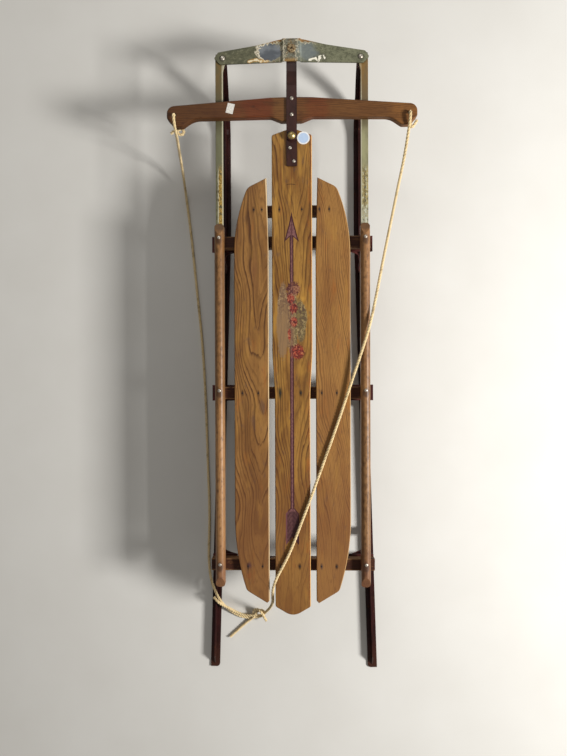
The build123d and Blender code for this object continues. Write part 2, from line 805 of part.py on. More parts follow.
for place, beam_y, beam_top_z in knee_table:
    right_knee = knee(beam_y, beam_top_z - beam_thickness)
    nodes["knee_" + place + "_right"] = right_knee
    nodes["knee_" + place + "_left"] = mirrored(right_knee)

for name, shape in nodes.items():
    export_step(shape, "parts/" + name + ".step")
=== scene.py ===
# %% [markdown]
# A long wooden sled, dressed in Blender.
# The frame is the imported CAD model: every piece is already at its real place, in metres.
# Z points up, Y points to the front where the bumper is, and X to the rider's right.
# This script adds the finishes, the real rope and its knots, and the small fasteners.

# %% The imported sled
import math

import bmesh
import bpy
from mathutils import Matrix, Vector


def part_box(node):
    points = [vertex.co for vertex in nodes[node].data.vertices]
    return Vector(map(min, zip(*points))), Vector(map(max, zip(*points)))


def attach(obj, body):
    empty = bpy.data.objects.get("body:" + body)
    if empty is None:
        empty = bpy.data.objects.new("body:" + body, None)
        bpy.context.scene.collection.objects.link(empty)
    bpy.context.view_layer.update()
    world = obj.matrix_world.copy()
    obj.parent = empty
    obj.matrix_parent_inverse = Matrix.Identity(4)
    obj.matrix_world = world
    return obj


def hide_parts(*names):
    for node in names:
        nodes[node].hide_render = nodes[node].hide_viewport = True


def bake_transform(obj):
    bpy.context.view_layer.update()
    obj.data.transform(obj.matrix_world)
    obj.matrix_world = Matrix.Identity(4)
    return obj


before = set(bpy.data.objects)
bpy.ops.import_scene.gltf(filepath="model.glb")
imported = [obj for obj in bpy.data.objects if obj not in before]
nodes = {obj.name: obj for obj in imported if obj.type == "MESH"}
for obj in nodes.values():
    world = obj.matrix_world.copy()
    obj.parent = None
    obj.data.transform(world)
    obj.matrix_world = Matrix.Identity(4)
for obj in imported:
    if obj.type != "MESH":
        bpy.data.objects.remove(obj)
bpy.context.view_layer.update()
scene = bpy.context.scene

# %% [markdown]
# The places that several pieces share are named once, in millimetres, as a maker would give them.
# Heights come from the frame itself, so nothing floats if the model changes.

# %% Shared places and heights
MM = 0.001
PLATE_THICKNESS = 3.0
STRAP_THICKNESS = 3.3
BUMPER_THICKNESS = 3.0


def top_of(node):
    """The highest point of a CAD node, in millimetres."""
    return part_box(node)[1].z / MM


def bottom_of(node):
    """The lowest point of a CAD node, in millimetres."""
    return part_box(node)[0].z / MM


def middle_y(node):
    """The middle of a CAD node along the sled, in millimetres."""
    low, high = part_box(node)
    return (low.y + high.y) / 2 / MM


def middle_x(node):
    """The middle of a CAD node across the sled, in millimetres."""
    low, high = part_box(node)
    return (low.x + high.x) / 2 / MM


slat_top = top_of("slat_centre")
bar_top = top_of("steering_bar")
rail_top = top_of("side_rail_right")
plate_top = slat_top + PLATE_THICKNESS
strap_top = bar_top + STRAP_THICKNESS
bumper_top = bottom_of("bumper") + BUMPER_THICKNESS
strip_top = top_of("front_strip_right")
cleat_y = middle_y("front_cleat")
beam_y = {place: middle_y("cross_beam_" + place) for place in ("front", "middle", "rear")}
rail_x = middle_x("side_rail_right")
rail_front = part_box("side_rail_right")[1].y / MM
pivot_y = middle_y("pivot_bolt")
front_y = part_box("bumper")[1].y / MM
eyelet_y = middle_y("bumper_eyelet")
print("slats' top", slat_top, "beams", beam_y, "pivot", pivot_y)

# %% [markdown]
# The camera stands in for the photographer, who held it over the middle of the sled and looked
# straight down. A wide lens close by makes the raised front and the runners spread a little,
# so the lens and the height matter more than a tilt does.

# %% Camera
CAMERA_PLACE = (0.0055, -0.0034, 1.3753)
CAMERA_TURN = (-0.32, 1.164, -0.195)
CAMERA_LENS = 27.05

camera_data = bpy.data.cameras.new("camera")
camera_data.lens = CAMERA_LENS
camera = bpy.data.objects.new("camera", camera_data)
camera.location = CAMERA_PLACE
camera.rotation_euler = [math.radians(angle) for angle in CAMERA_TURN]
scene.collection.objects.link(camera)
scene.camera = camera
scene.view_settings.view_transform = "Standard"
print("camera looks down from", CAMERA_PLACE[2], "m")

# %% [markdown]
# Soft studio light: a lamp fairly low on the rider's right brightens the rails' right sides and throws
# the rope's shadow to the left, as in the photograph, and the pale world fills the rest. The two together
# light a level surface at about 1, so a colour renders about as it is written.

# %% Light
WORLD_LIGHT = 0.24
BACKDROP_LIGHT = 0.86
WORLD_TINT = (1.0, 0.985, 0.96, 1.0)


def lamp(name, place, target, width, power):
    """A square soft lamp that shines from a place towards a target."""
    light = bpy.data.lights.new(name, "AREA")
    light.size = width
    light.energy = power
    holder = bpy.data.objects.new(name, light)
    holder.location = place
    way = Vector(target) - Vector(place)
    holder.rotation_euler = way.to_track_quat("-Z", "Y").to_euler()
    scene.collection.objects.link(holder)


lamp("key_light", place=(2.2, -0.3, 1.6), target=(0.0, 0.0, 0.1), width=0.5, power=104)
lamp("front_light", place=(-0.4, 2.2, 2.0), target=(0.0, 0.3, 0.1), width=1.2, power=14)

world = bpy.data.worlds.new("studio")
world.use_nodes = True
scene.world = world
background = world.node_tree.nodes["Background"]
rays = world.node_tree.nodes.new("ShaderNodeLightPath")
seen = world.node_tree.nodes.new("ShaderNodeMapRange")
seen.inputs["To Min"].default_value = WORLD_LIGHT
seen.inputs["To Max"].default_value = BACKDROP_LIGHT
world.node_tree.links.new(rays.outputs["Is Camera Ray"], seen.inputs["Value"])
world.node_tree.links.new(seen.outputs[0], background.inputs["Strength"])
background.inputs["Color"].default_value = WORLD_TINT
print("lamps", len(bpy.data.lights))

# %% [markdown]
# A finish is a material. Two small classes keep the node trees readable: Value wraps one socket, so that
# maths on it is written as plain Python, and Finish adds any other node with one method.
# Positions are read from the object's own coordinates and turned into millimetres, because every
# piece sits at the frame's origin. So a pattern stays on its piece when the sled is steered.

# %% Values and finishes
class Value:
    """One output socket of a finish, with Python's operators."""

    def __init__(self, finish, socket):
        self.finish = finish
        self.socket = socket

    def math(self, operation, *inputs):
        return self.finish.node("ShaderNodeMath", {"operation": operation}, dict(enumerate(inputs)))

    def __add__(self, other):
        return self.math("ADD", self, other)

    def __radd__(self, other):
        return self.math("ADD", other, self)

    def __sub__(self, other):
        return self.math("SUBTRACT", self, other)

    def __rsub__(self, other):
        return self.math("SUBTRACT", other, self)

    def __mul__(self, other):
        return self.math("MULTIPLY", self, other)

    def __rmul__(self, other):
        return self.math("MULTIPLY", other, self)

    def __truediv__(self, other):
        return self.math("DIVIDE", self, other)

    def __pow__(self, other):
        return self.math("POWER", self, other)

    def __abs__(self):
        return self.math("ABSOLUTE", self)

    def root(self):
        return self.math("SQRT", self)

    def wave(self):
        return self.math("SINE", self)

    def fraction(self):
        return self.math("FRACT", self)

    def floor(self):
        return self.math("FLOOR", self)

    def least(self, other):
        return self.math("MINIMUM", self, other)

    def most(self, other):
        return self.math("MAXIMUM", self, other)

    def coat(self, colour, share):
        """This colour with a share of another laid over it."""
        return self.finish.mix(self, colour, share)

    def shift(self, width):
        """A cloud from 0 to 1 as a shift either way, width from end to end."""
        return (self - 0.5) * width

    def ramp(self, low, high):
        """0 up to low, 1 from high on, and smooth between them."""
        return self.finish.node(
            "ShaderNodeMapRange",
            {"interpolation_type": "SMOOTHSTEP"},
            {"Value": self, "From Min": low, "From Max": high},
        )


class Finish:
    """A material: constants on its shader, and nodes for what changes over the surface."""

    def __init__(self, name, constants=None):
        self.material = bpy.data.materials.new(name)
        self.material.use_nodes = True
        self.tree = self.material.node_tree
        self.shader = self.tree.nodes["Principled BSDF"]
        for socket, value in (constants or {}).items():
            self.shader.inputs[socket].default_value = value
        place = self.node("ShaderNodeTexCoord", output="Object")
        to_millimetres = {0: place, "Scale": 1 / MM}
        self.millimetres = self.node("ShaderNodeVectorMath", {"operation": "SCALE"}, to_millimetres)
        parts = self.tree.nodes.new("ShaderNodeSeparateXYZ")
        self.tree.links.new(self.millimetres.socket, parts.inputs[0])
        self.x, self.y, self.z = (Value(self, socket) for socket in parts.outputs)

    def node(self, kind, settings=None, inputs=None, output=0):
        """Adds a node: its settings first, then the values or links of its sockets."""
        made = self.tree.nodes.new(kind)
        for key, value in (settings or {}).items():
            setattr(made, key, value)
        for key, value in (inputs or {}).items():
            if isinstance(value, Value):
                self.tree.links.new(value.socket, made.inputs[key])
            else:
                made.inputs[key].default_value = value
        return Value(self, made.outputs[output])

    def mix(self, first, second, share):
        """A colour between two others."""
        return self.node("ShaderNodeMix", {"data_type": "RGBA"}, {0: share, 6: first, 7: second}, 2)

    def vector(self, x, y, z):
        return self.node("ShaderNodeCombineXYZ", None, {0: x, 1: y, 2: z})

    def noise(self, size, detail=2.0, seed=0.0, roughness=0.5):
        """Noise from 0 to 1 whose lumps are about size millimetres along X, Y and Z.
        Z is left out where it is the same as X, and one number does for all three."""
        lumps = (size,) * 3 if isinstance(size, float) else (*size, size[0])[:3]
        spread = self.node(
            "ShaderNodeVectorMath",
            {"operation": "MULTIPLY_ADD"},
            {0: self.millimetres, 1: [1 / length for length in lumps], 2: (seed, -seed, 2 * seed)},
        )
        return self.node(
            "ShaderNodeTexNoise",
            None,
            {"Vector": spread, "Scale": 1.0, "Detail": detail, "Roughness": roughness},
        )

    def distance(self, x, y, stretch=1.0):
        """Distance in plan from a point, with lengths along Y divided by stretch."""
        here = self.vector(self.x, self.y / stretch, 0.0)
        ends = {0: here, 1: (x, y / stretch, 0.0)}
        return self.node("ShaderNodeVectorMath", {"operation": "DISTANCE"}, ends, 1)

    def nearest(self, points, stretch=1.0):
        """Distance in plan from the nearest of some points."""
        found = self.distance(*points[0], stretch)
        for point in points[1:]:
            found = found.least(self.distance(*point, stretch))
        return found

    def put(self, socket, value):
        """Feeds one of the shader's own sockets."""
        self.tree.links.new(value.socket, self.shader.inputs[socket])

    def raise_by(self, height, millimetres):
        """Bump from a height from 0 to 1 that stands for some millimetres."""
        bump = self.node(
            "ShaderNodeBump",
            None,
            {"Height": height, "Distance": millimetres * MM, "Strength": 1.0},
        )
        self.put("Normal", bump)


def paint(finish, *names):
    """Gives a CAD node its finish."""
    for name in names:
        mesh = nodes[name].data
        mesh.materials.clear()
        mesh.materials.append(finish.material)


def rgb(red, green, blue):
    """A colour written as it looks on a screen, 0 to 255, made linear for the shader."""
    linear = []
    for part in (red, green, blue):
        share = part / 255
        linear.append(share / 12.92 if share <= 0.04045 else ((share + 0.055) / 1.055) ** 2.4)
    return (*linear, 1.0)


print("finishes are ready to be made")

# %% [markdown]
# A plain pale floor. It isn't part of the sled, but it catches the shadows, and its faint mottling keeps
# it from looking like a sheet of paper.

# %% Floor
FLOOR_HALF = 14.0
FLOOR_DROP = 0.0004

floor_finish = Finish("pale_floor", {"Roughness": 0.85, "Specular IOR Level": 0.2})
floor_cloud = floor_finish.noise(160.0, detail=4.0)
floor_finish.put("Base Color", floor_finish.mix(rgb(206, 202, 194), rgb(216, 213, 206), floor_cloud))
floor_mesh = bpy.data.meshes.new("floor")
corner_signs = ((-1, -1), (1, -1), (1, 1), (-1, 1))
floor_corners = [(sx * FLOOR_HALF, sy * FLOOR_HALF, -FLOOR_DROP) for sx, sy in corner_signs]
floor_mesh.from_pydata(floor_corners, [], [(0, 1, 2, 3)])
floor_mesh.materials.append(floor_finish.material)
floor = bpy.data.objects.new("floor", floor_mesh)
scene.collection.objects.link(floor)
print("floor", 2 * FLOOR_HALF, "m wide")

# %% [markdown]
# Varnished wood is most of what one sees. A board shows the tree's yearly rings as lines: where the saw
# ran close to the pith they close into arches, and further out they run straight. An image of wood would
# repeat and can't be used, so the rings are computed: each point's distance from a pith line below the board,
# less a small taper along it, divided by the ring's width. Where a ring is cut at a shallow angle its dark
# line would grow wide, so the way past the line is turned into millimetres first. Every ring gets its own
# darkness from white noise, and fine stretched noise gives the open pores, which look like short dark dashes.
# Each noise is longer along the grain than across it, so its size is written as a pair: across, along.

# %% Wood grain
SWAY_LUMP = (60.0, 210.0)
FINE_LUMP = (10.0, 120.0)
PORE = (1.3, 15.0)
RING_GROUP = 9.0


def along_grain(size, reach):
    """A noise size for X, Y and Z that is longer along the axis of the grain."""
    across, along = size
    lumps = [across, across, across]
    lumps[reach] = along
    return lumps


def grain(finish, across, along, up, pith, depth, taper, ring, sway, seed, reach, bold=1.0, bands=0.0):
    """Ring darkness from 0 to 1 of a board, with its grain along one of the sled's axes.
    bold strengthens each line, and bands darkens whole groups of rings softly."""
    slow = finish.noise(along_grain(SWAY_LUMP, reach), detail=1.5, seed=seed)
    quick = finish.noise(along_grain(FINE_LUMP, reach), detail=3.0, seed=seed + 3.1)
    side = across - pith + slow.shift(sway)
    radius = (side * side + (up + depth) * (up + depth)).root()
    place = (radius - along * taper) / ring + quick * 0.9
    year = place.floor()
    late = place.fraction()
    own = finish.node("ShaderNodeTexWhiteNoise", {"noise_dimensions": "1D"}, {"W": year + seed})
    stretch = radius / abs(side).most(radius * 0.18)
    past_line = late * stretch * ring
    line = (1 - past_line.ramp(0.3, 0.8 + 0.55 * ring)) * late.ramp(0.0, 0.08)
    lines = line * (0.3 + own * 0.7) * quick.ramp(0.14, 0.46) * bold
    if not bands:
        return lines.least(1.0)
    spot = place * (ring / RING_GROUP) + seed
    group = finish.node("ShaderNodeTexNoise", {"noise_dimensions": "1D"}, {"W": spot, "Scale": 1.0})
    return lines.most(group.ramp(0.48, 0.7) * bands).least(1.0)


def pores(finish, reach, seed):
    """Short dark dashes along the grain, from 0 to 1."""
    return finish.noise(along_grain(PORE, reach), detail=2.0, seed=seed).ramp(0.54, 0.7)


print("grain and pores are defined")

# %% [markdown]
# The three slats come from three boards. The left and the centre one are cut close to the pith, so dark lines
# sweep across them in long curves. The right one is nearly straight-grained and paler.
# Each slat also carries its history: dark rings round the nails where iron stained the wood, and blotches
# of old, yellowed varnish. Its right edge is painted pale: partly where the varnish wore off, partly a
# painted highlight of the light from the right.
# The right slat's curved sides are circles through three points, so the pale edge can follow them.

# %% Slat edges
SIDE_INNER = 50.0
SIDE_FRONT_INNER = 54.0
SIDE_OUTER = 123.0
SIDE_STRAIGHT_FRONT = 255.0
FRONT_ARC = ((94.5, 394.0), (115.0, 329.0), (123.0, 255.0))
REAR_ARC = ((123.0, -297.5), (116.5, -388.5), (98.5, -462.0))
CENTRE_FRONT_HALF = 42.5
CENTRE_REAR_HALF = 37.5


def circle_through(first, second, third):
    """Centre and radius of the circle through three points in plan."""
    ax, ay = first
    bx, by = second
    cx, cy = third
    turn = 2 * (ax * (by - cy) + bx * (cy - ay) + cx * (ay - by))
    a2, b2, c2 = ax * ax + ay * ay, bx * bx + by * by, cx * cx + cy * cy
    x = (a2 * (by - cy) + b2 * (cy - ay) + c2 * (ay - by)) / turn
    y = (a2 * (cx - bx) + b2 * (ax - cx) + c2 * (bx - ax)) / turn
    return x, y, math.hypot(ax - x, ay - y)


def inside_circle(finish, arc, y):
    """Distance inwards from an arc's circle, read at the place y along the sled."""
    centre_x, centre_y, radius = circle_through(*arc)
    side = finish.x - centre_x
    ahead = y - centre_y
    return radius - (side * side + ahead * ahead).root()


def outer_edge(finish):
    """Distance inwards from the right slat's outer edge: an arc, a straight side and an arc."""
    in_front = inside_circle(finish, FRONT_ARC, finish.y.most(FRONT_ARC[2][1]))
    behind = inside_circle(finish, REAR_ARC, finish.y.least(REAR_ARC[0][1]))
    return (SIDE_OUTER - finish.x).least(in_front).least(behind)


def centre_right_edge(finish):
    """Distance inwards from the centre slat's right edge, which steps in a little behind."""
    widen = finish.y.ramp(-60.0, 60.0) * (CENTRE_FRONT_HALF - CENTRE_REAR_HALF)
    return CENTRE_REAR_HALF - finish.x + widen


def left_inner_edge(finish):
    """Distance inwards from the left slat's right edge, which bears away at the front."""
    away = finish.y.ramp(SIDE_STRAIGHT_FRONT, 2 * SIDE_STRAIGHT_FRONT) * 2 * (SIDE_FRONT_INNER - SIDE_INNER)
    return -SIDE_INNER - finish.x - away


print("front arc", circle_through(*FRONT_ARC), "rear arc", circle_through(*REAR_ARC))

# %% [markdown]
# The nails sit in rows over the cleat and the beams. The same list gives the nails their places and the
# finish its stains.

# %% Nail places
nail_x = {
    "left": {"cleat": (-80.7, -63.7), "middle": (-106.3, -72.1), "rear": (-95.4, -64.7)},
    "centre": {"cleat": (-26.4, 21.1), "middle": (-25.9, 17.8), "rear": (-26.0, 14.5)},
    "right": {"cleat": (57.9, 78.6), "middle": (62.0, 93.7), "rear": (60.2, 92.2)},
}
nail_row = {"cleat": cleat_y, "middle": beam_y["middle"], "rear": beam_y["rear"]}
nail_places = {}
for slat, rows in nail_x.items():
    nail_places[slat] = [(x, nail_row[row]) for row, places in rows.items() for x in places]
print("nails", sum(len(places) for places in nail_places.values()))

# %% [markdown]
# One function varnishes all three slats from the way the board was sawn and its colours. Dark grain,
# blotches, pores, stains and worn edges are laid over each other in the order in which the real slat got
# them; the pale right edges also carry a painted highlight, and the slats' sides a painted shade.
# Towards the slats' rear ends the grain is calmer.

# %% Slat finish
ORANGE_VARNISH = rgb(156, 90, 36)
YELLOW_VARNISH = rgb(176, 130, 56)
BRUISE = rgb(88, 64, 52)
PURPLE = rgb(72, 46, 52)
RUST_RED = rgb(138, 76, 40)
GREEN_BLACK = rgb(36, 36, 22)
REAR_BROWN = rgb(112, 70, 42)
NAIL_STAIN = rgb(50, 30, 18)
SIDE_SHADE_BROWN = rgb(66, 42, 24)
SLAT_RELIEF = 0.12


def oval(finish, x, y, half_width, half_length):
    """Distance inside an oval in plan, 1 in its middle and 0 at its edge."""
    side = (finish.x - x) / half_width
    end = (finish.y - y) / half_length
    return 1 - (side * side + end * end).root()


def varnish_slat(side, board, colours, edge, spots, gold, over=None):
    """Varnishes a slat. board holds the grain's numbers, colours its pale, middle and dark wood and the pale
    colour of its right edge, which is worn wood with a painted highlight.
    spots are stains: a place, half sizes, a colour and a weight. gold is how much yellow varnish is left.
    over is a function that prints on the wood."""
    pale, middle, dark, worn = colours
    seed = board["seed"]
    finish = Finish("varnished_slat_" + side, {"Specular IOR Level": 0.2, "Coat Roughness": 0.35})
    above = finish.z - slat_top
    rings = grain(finish, finish.x, finish.y, above, reach=1, **board)
    dashes = pores(finish, 1, seed + 7.0)
    blotch = finish.noise((34.0, 120.0), detail=4.0, seed=seed + 1.7)
    streak = finish.noise((4.0, 150.0), detail=4.0, seed=seed + 5.2)
    wood = finish.mix(pale, middle, blotch.ramp(0.34, 0.66))
    wood = wood.coat(dark, streak.ramp(0.5, 0.75) * 0.3)
    calm = 0.5 + finish.y.ramp(-460.0, -300.0) * 0.45
    wood = wood.coat(dark, (rings * calm).most(dashes * 0.5))
    orange = finish.noise((12.0, 60.0), detail=3.0, seed=seed + 8.4)
    wood = wood.coat(ORANGE_VARNISH, orange.ramp(0.58, 0.78) * 0.4)
    yellow = finish.noise((14.0, 90.0), detail=3.0, seed=seed + 11.6)
    wood = wood.coat(YELLOW_VARNISH, yellow.ramp(0.54, 0.7) * gold)
    bruise = finish.noise((9.0, 24.0), detail=3.0, seed=seed + 13.2)
    wood = wood.coat(BRUISE, bruise.ramp(0.6, 0.76) * 0.45)
    behind = 1 - finish.y.ramp(-380.0, -60.0)
    wood = wood.coat(REAR_BROWN, behind * 0.42)
    grime = finish.noise((7.0, 26.0), detail=4.0, seed=seed + 9.0)
    near_nail = finish.nearest(nail_places[side], stretch=2.6) + grime.shift(4.0)
    stain = 1 - near_nail.ramp(0.8, 3.6)
    wood = wood.coat(NAIL_STAIN, stain * 0.72)
    for x, y, half_width, half_length, colour, weight in spots:
        spot = oval(finish, x, y, half_width, half_length) + grime.shift(1.6)
        wood = wood.coat(colour, spot.ramp(0.0, 0.9) * weight)
    # The pale line along the right edge is worn varnish and a painted highlight of the light from the right.
    rubbed = edge(finish) + grime.shift(1.4)
    worn_edge_and_highlight = 1 - rubbed.ramp(0.8, 2.0)
    wood = wood.coat(worn, worn_edge_and_highlight * 0.9)
    # Faces that don't point up are painted darker brown: painted shade on the slat's sides.
    upward = finish.node("ShaderNodeNewGeometry", output="Normal")
    level = finish.node("ShaderNodeSeparateXYZ", None, {0: upward}, 2).ramp(-0.2, 0.35)
    wood = finish.mix(SIDE_SHADE_BROWN, wood, level)
    finish.put("Roughness", 0.4 + grime * 0.24 + worn_edge_and_highlight * 0.2)
    finish.put("Coat Weight", 0.1 - worn_edge_and_highlight * 0.1)
    finish.put("Base Color", over(finish, wood) if over else wood)
    finish.raise_by(1 - rings * 0.6 - dashes * 0.4, SLAT_RELIEF)
    paint(finish, "slat_" + side)


left_board = dict(pith=-62.0, depth=9.0, taper=0.12, ring=7.5, sway=84.0, seed=2.0, bold=1.4, bands=0.45)
left_colours = (rgb(148, 106, 56), rgb(126, 86, 44), rgb(76, 46, 24), rgb(204, 176, 134))
left_spots = (
    (-94.0, -408.0, 8.0, 12.0, PURPLE, 0.8),
    (-93.0, -430.0, 9.0, 12.0, RUST_RED, 0.4),
    (-63.0, -71.0, 9.0, 20.0, BRUISE, 0.6),
    (-84.0, -100.0, 8.0, 24.0, BRUISE, 0.5),
    (-80.0, 215.0, 12.0, 60.0, REAR_BROWN, 0.5),
)
varnish_slat("left", left_board, left_colours, left_inner_edge, left_spots, gold=0.2)

right_board = dict(pith=210.0, depth=40.0, taper=0.12, ring=3.6, sway=46.0, seed=11.0, bold=1.0, bands=0.14)
right_colours = (rgb(156, 112, 58), rgb(138, 94, 48), rgb(88, 54, 28), rgb(176, 140, 92))
right_spots = (
    (93.0, beam_y["rear"], 5.0, 7.0, NAIL_STAIN, 0.7),
    (61.0, beam_y["rear"], 4.0, 10.0, BRUISE, 0.7),
    (104.0, 62.0, 8.0, 40.0, REAR_BROWN, 0.25),
)
varnish_slat("right", right_board, right_colours, outer_edge, right_spots, gold=0.22)
print("side slats are varnished")

# %% [markdown]
# The centre slat carries an old printed arrow, which runs nearly its whole length, and a worn panel.
# The print is drawn with distances: a point's signed distance into the head, the shaft or the feathers,
# in millimetres, is above 0 inside. The largest of the three is the whole arrow, and its first millimetres
# are the dark border. Little of the panel is left: three joined ovals of rubbed grey-brown ground with
# clusters of red lines over them, which hide the arrow.

# %% Printed arrow
ARROW_X = -1.0
ARROW_TIP_Y = 345.0
BARB_Y = 277.0
BARB_HALF = 16.2
NOTCH_RISE = 11.0
HEAD_HOLLOW = 1.22
SHAFT_HALF = 4.3
FEATHER_FRONT_Y = -290.0
FEATHER_REAR_Y = -348.0
FEATHER_HALF = 14.2
ARROW_BORDER = 2.7


def arrow_depth(finish):
    """How far a point lies inside the printed arrow, in millimetres."""
    side = abs(finish.x - ARROW_X)
    share = ((ARROW_TIP_Y - finish.y) / (ARROW_TIP_Y - BARB_Y)).most(0.0)
    flank = share ** HEAD_HOLLOW * BARB_HALF - side
    slope = NOTCH_RISE / (BARB_HALF - SHAFT_HALF)
    heel = finish.y - BARB_Y - (BARB_HALF - side) * slope
    head = flank.least(heel)
    shaft = (SHAFT_HALF - side).least(finish.y - FEATHER_FRONT_Y).least(BARB_Y + 2 * NOTCH_RISE - finish.y)
    widen = (FEATHER_FRONT_Y + SHAFT_HALF - finish.y) * 0.8
    swallow = finish.y - FEATHER_REAR_Y + side * 1.2
    feathers = (FEATHER_HALF - side).least(widen + SHAFT_HALF - side).least(swallow)
    feathers = feathers.least(FEATHER_FRONT_Y + SHAFT_HALF - finish.y)
    return head.most(shaft).most(feathers)


print("arrow from", FEATHER_REAR_Y, "to", ARROW_TIP_Y)

# %% Centre slat
CRACK_X = -2.0
CRACK_Y = 400.0
PANEL_PARTS = ((17.0, 112.0, 15.0, 48.0), (-19.5, 112.0, 14.5, 84.0), (0.0, 108.0, 14.0, 82.0))
MAROON_CLUSTER = (2.4, 178.0, 16.0, 17.0)
RED_CLUSTERS = (
    (2.5, 137.6, 9.0, 13.0),
    (3.4, 108.6, 9.0, 12.0),
    (10.5, 45.0, 16.5, 17.0),
    (-6.0, 82.0, 4.0, 14.0),
    (-3.0, 158.0, 9.0, 12.0),
)

centre_board = dict(pith=8.0, depth=14.0, taper=0.07, ring=6.2, sway=66.0, seed=23.0, bold=1.5, bands=0.4)
centre_colours = (rgb(154, 112, 52), rgb(126, 86, 38), rgb(76, 44, 20), rgb(210, 162, 96))
centre_spots = (
    (-25.9, beam_y["middle"], 6.5, 17.0, GREEN_BLACK, 0.85),
    (17.8, beam_y["middle"], 5.0, 9.0, GREEN_BLACK, 0.75),
    (14.0, beam_y["rear"], 5.0, 10.0, NAIL_STAIN, 0.75),
    (22.0, 157.0, 8.0, 9.0, YELLOW_VARNISH, 0.9),
    (20.0, 8.0, 12.0, 30.0, YELLOW_VARNISH, 0.5),
)


def worn_panel(finish, wood, rub, patch):
    """What is left of the printed panel: grey-brown ground, and clusters of red, black and pale lines."""
    upper, lower, middle = (oval(finish, *part) * part[2] for part in PANEL_PARTS)
    uneven = patch.shift(9.0) + rub.shift(7.0)
    inside = upper.most(lower).most(middle) + uneven
    squiggle = finish.noise((7.0, 10.0), detail=2.0, seed=33.0)
    dark_lines = 1 - abs(squiggle - 0.46).ramp(0.02, 0.07)
    pale_lines = 1 - abs(squiggle - 0.59).ramp(0.01, 0.04)

    green_side = (finish.x - 4.0).ramp(-6.0, 6.0)
    ground = finish.mix(rgb(130, 104, 78), rgb(102, 94, 64), green_side)
    wood = wood.coat(ground, inside.ramp(-0.5, 2.5) * 0.74)
    along = (1 - abs(finish.x - 1.0).ramp(8.0, 13.0)) * 0.7
    ahead = finish.y.ramp(110.0, 150.0) * 0.6
    busy = inside.ramp(0.0, 3.0) * (ahead + green_side * 0.7).most(along).least(1.0)
    wood = wood.coat(rgb(66, 44, 46), dark_lines * busy * 0.7)
    wood = wood.coat(rgb(178, 152, 108), pale_lines * busy * 0.7)

    def blob(cluster):
        return (oval(finish, *cluster) + rub.shift(1.4)).ramp(0.0, 0.25)

    red = blob(RED_CLUSTERS[0])
    for cluster in RED_CLUSTERS[1:]:
        red = red.most(blob(cluster))
    maroon = blob(MAROON_CLUSTER)
    wood = wood.coat(rgb(108, 60, 54), maroon * 0.85)
    wood = wood.coat(finish.mix(rgb(166, 58, 42), rgb(126, 48, 40), rub.ramp(0.4, 0.6)), red * 0.88)
    cluster = red.most(maroon)
    wood = wood.coat(rgb(58, 26, 28), dark_lines * cluster * 0.8)
    wood = wood.coat(rgb(184, 140, 100), pale_lines * cluster * 0.5)
    return wood, inside.ramp(2.0, 6.0).most(cluster)


def printed(finish, wood):
    """The centre slat's colour with its print, its rubbed red edge and its crack."""
    rub = finish.noise((2.2, 5.0), detail=4.0, seed=31.0)
    patch = finish.noise((16.0, 34.0), detail=3.0, seed=37.0)

    red_edge = 1 - abs(centre_right_edge(finish) - 2.4 + rub.shift(3.0)).ramp(0.4, 1.5)
    wood = wood.coat(rgb(112, 44, 26), red_edge * rub.ramp(0.36, 0.5) * 0.6)
    smear = 1 - abs(centre_right_edge(finish) - 7.0 + patch.shift(16.0)).ramp(1.0, 7.0)
    wood = wood.coat(rgb(160, 90, 32), smear * patch.ramp(0.5, 0.68) * 0.4)

    wood, panel = worn_panel(finish, wood, rub, patch)

    depth = arrow_depth(finish)
    printed_ink = (depth + rub.shift(0.9)).ramp(0.0, 0.5) * (0.8 + rub.ramp(0.3, 0.45) * 0.2)
    fill = finish.mix(rgb(124, 84, 82), rgb(98, 60, 60), rub.ramp(0.35, 0.65))
    spine = (1 - abs(finish.x - ARROW_X).ramp(0.6, 1.8)) * finish.y.ramp(BARB_Y - 6.0, BARB_Y + 6.0)
    fill = fill.coat(rgb(66, 34, 38), spine * 0.6)
    slant = finish.y + abs(finish.x - ARROW_X) * 1.4 + rub.shift(5.0)
    stripes = (slant * 0.6).wave().ramp(-0.1, 0.7)
    feathers = 1 - finish.y.ramp(FEATHER_FRONT_Y - 6.0, FEATHER_FRONT_Y)
    # The feathers' right half is printed darker and keeps a dark outline, while the left half's outline is
    # lighter: partly the print's own colours, partly a painted shadow of the rope over them.
    rope_shaded_half = (finish.x - ARROW_X).ramp(-1.0, 1.0)
    fill = fill.coat(rgb(54, 27, 29), (0.6 + stripes * 0.14 + rope_shaded_half * 0.16) * feathers)
    border = 1 - depth.ramp(ARROW_BORDER - 0.4, ARROW_BORDER + 0.4)
    lower_outline = feathers * (1 - rope_shaded_half)
    fill = fill.coat(finish.mix(rgb(56, 24, 28), rgb(104, 62, 66), lower_outline), border * 0.95)
    wood = wood.coat(fill, printed_ink * (1 - panel * 0.8))

    from_crack = finish.x - CRACK_X
    crack_bow = finish.y - CRACK_Y + from_crack * from_crack * 0.02 + rub.shift(3.0)
    crack = (1 - abs(crack_bow).ramp(0.3, 1.0)) * (1 - abs(from_crack).ramp(8.0, 11.0))
    guide = (1 - abs(finish.x - ARROW_X).ramp(0.3, 1.0)) * finish.y.ramp(ARROW_TIP_Y, ARROW_TIP_Y + 3.0)
    return finish.mix(wood, rgb(58, 34, 18), crack.most(guide * 0.35))


varnish_slat("centre", centre_board, centre_colours, centre_right_edge, centre_spots, gold=0.55, over=printed)
print("centre slat is printed and varnished")

# %% [markdown]
# The round-topped side rails are browner, and hands and shoes have left dark mottling in the varnish.
# Their tops are painted paler in patches: partly polish from hands and shoes, partly a painted highlight
# on the round top. Their rear ends are darker and redder.

# %% Side rails
RAIL_END = 16.0
rail_gloss = {"Specular IOR Level": 0.25, "Coat Roughness": 0.3, "Coat Weight": 0.15}
rail_finish = Finish("brown_rail_wood", rail_gloss)


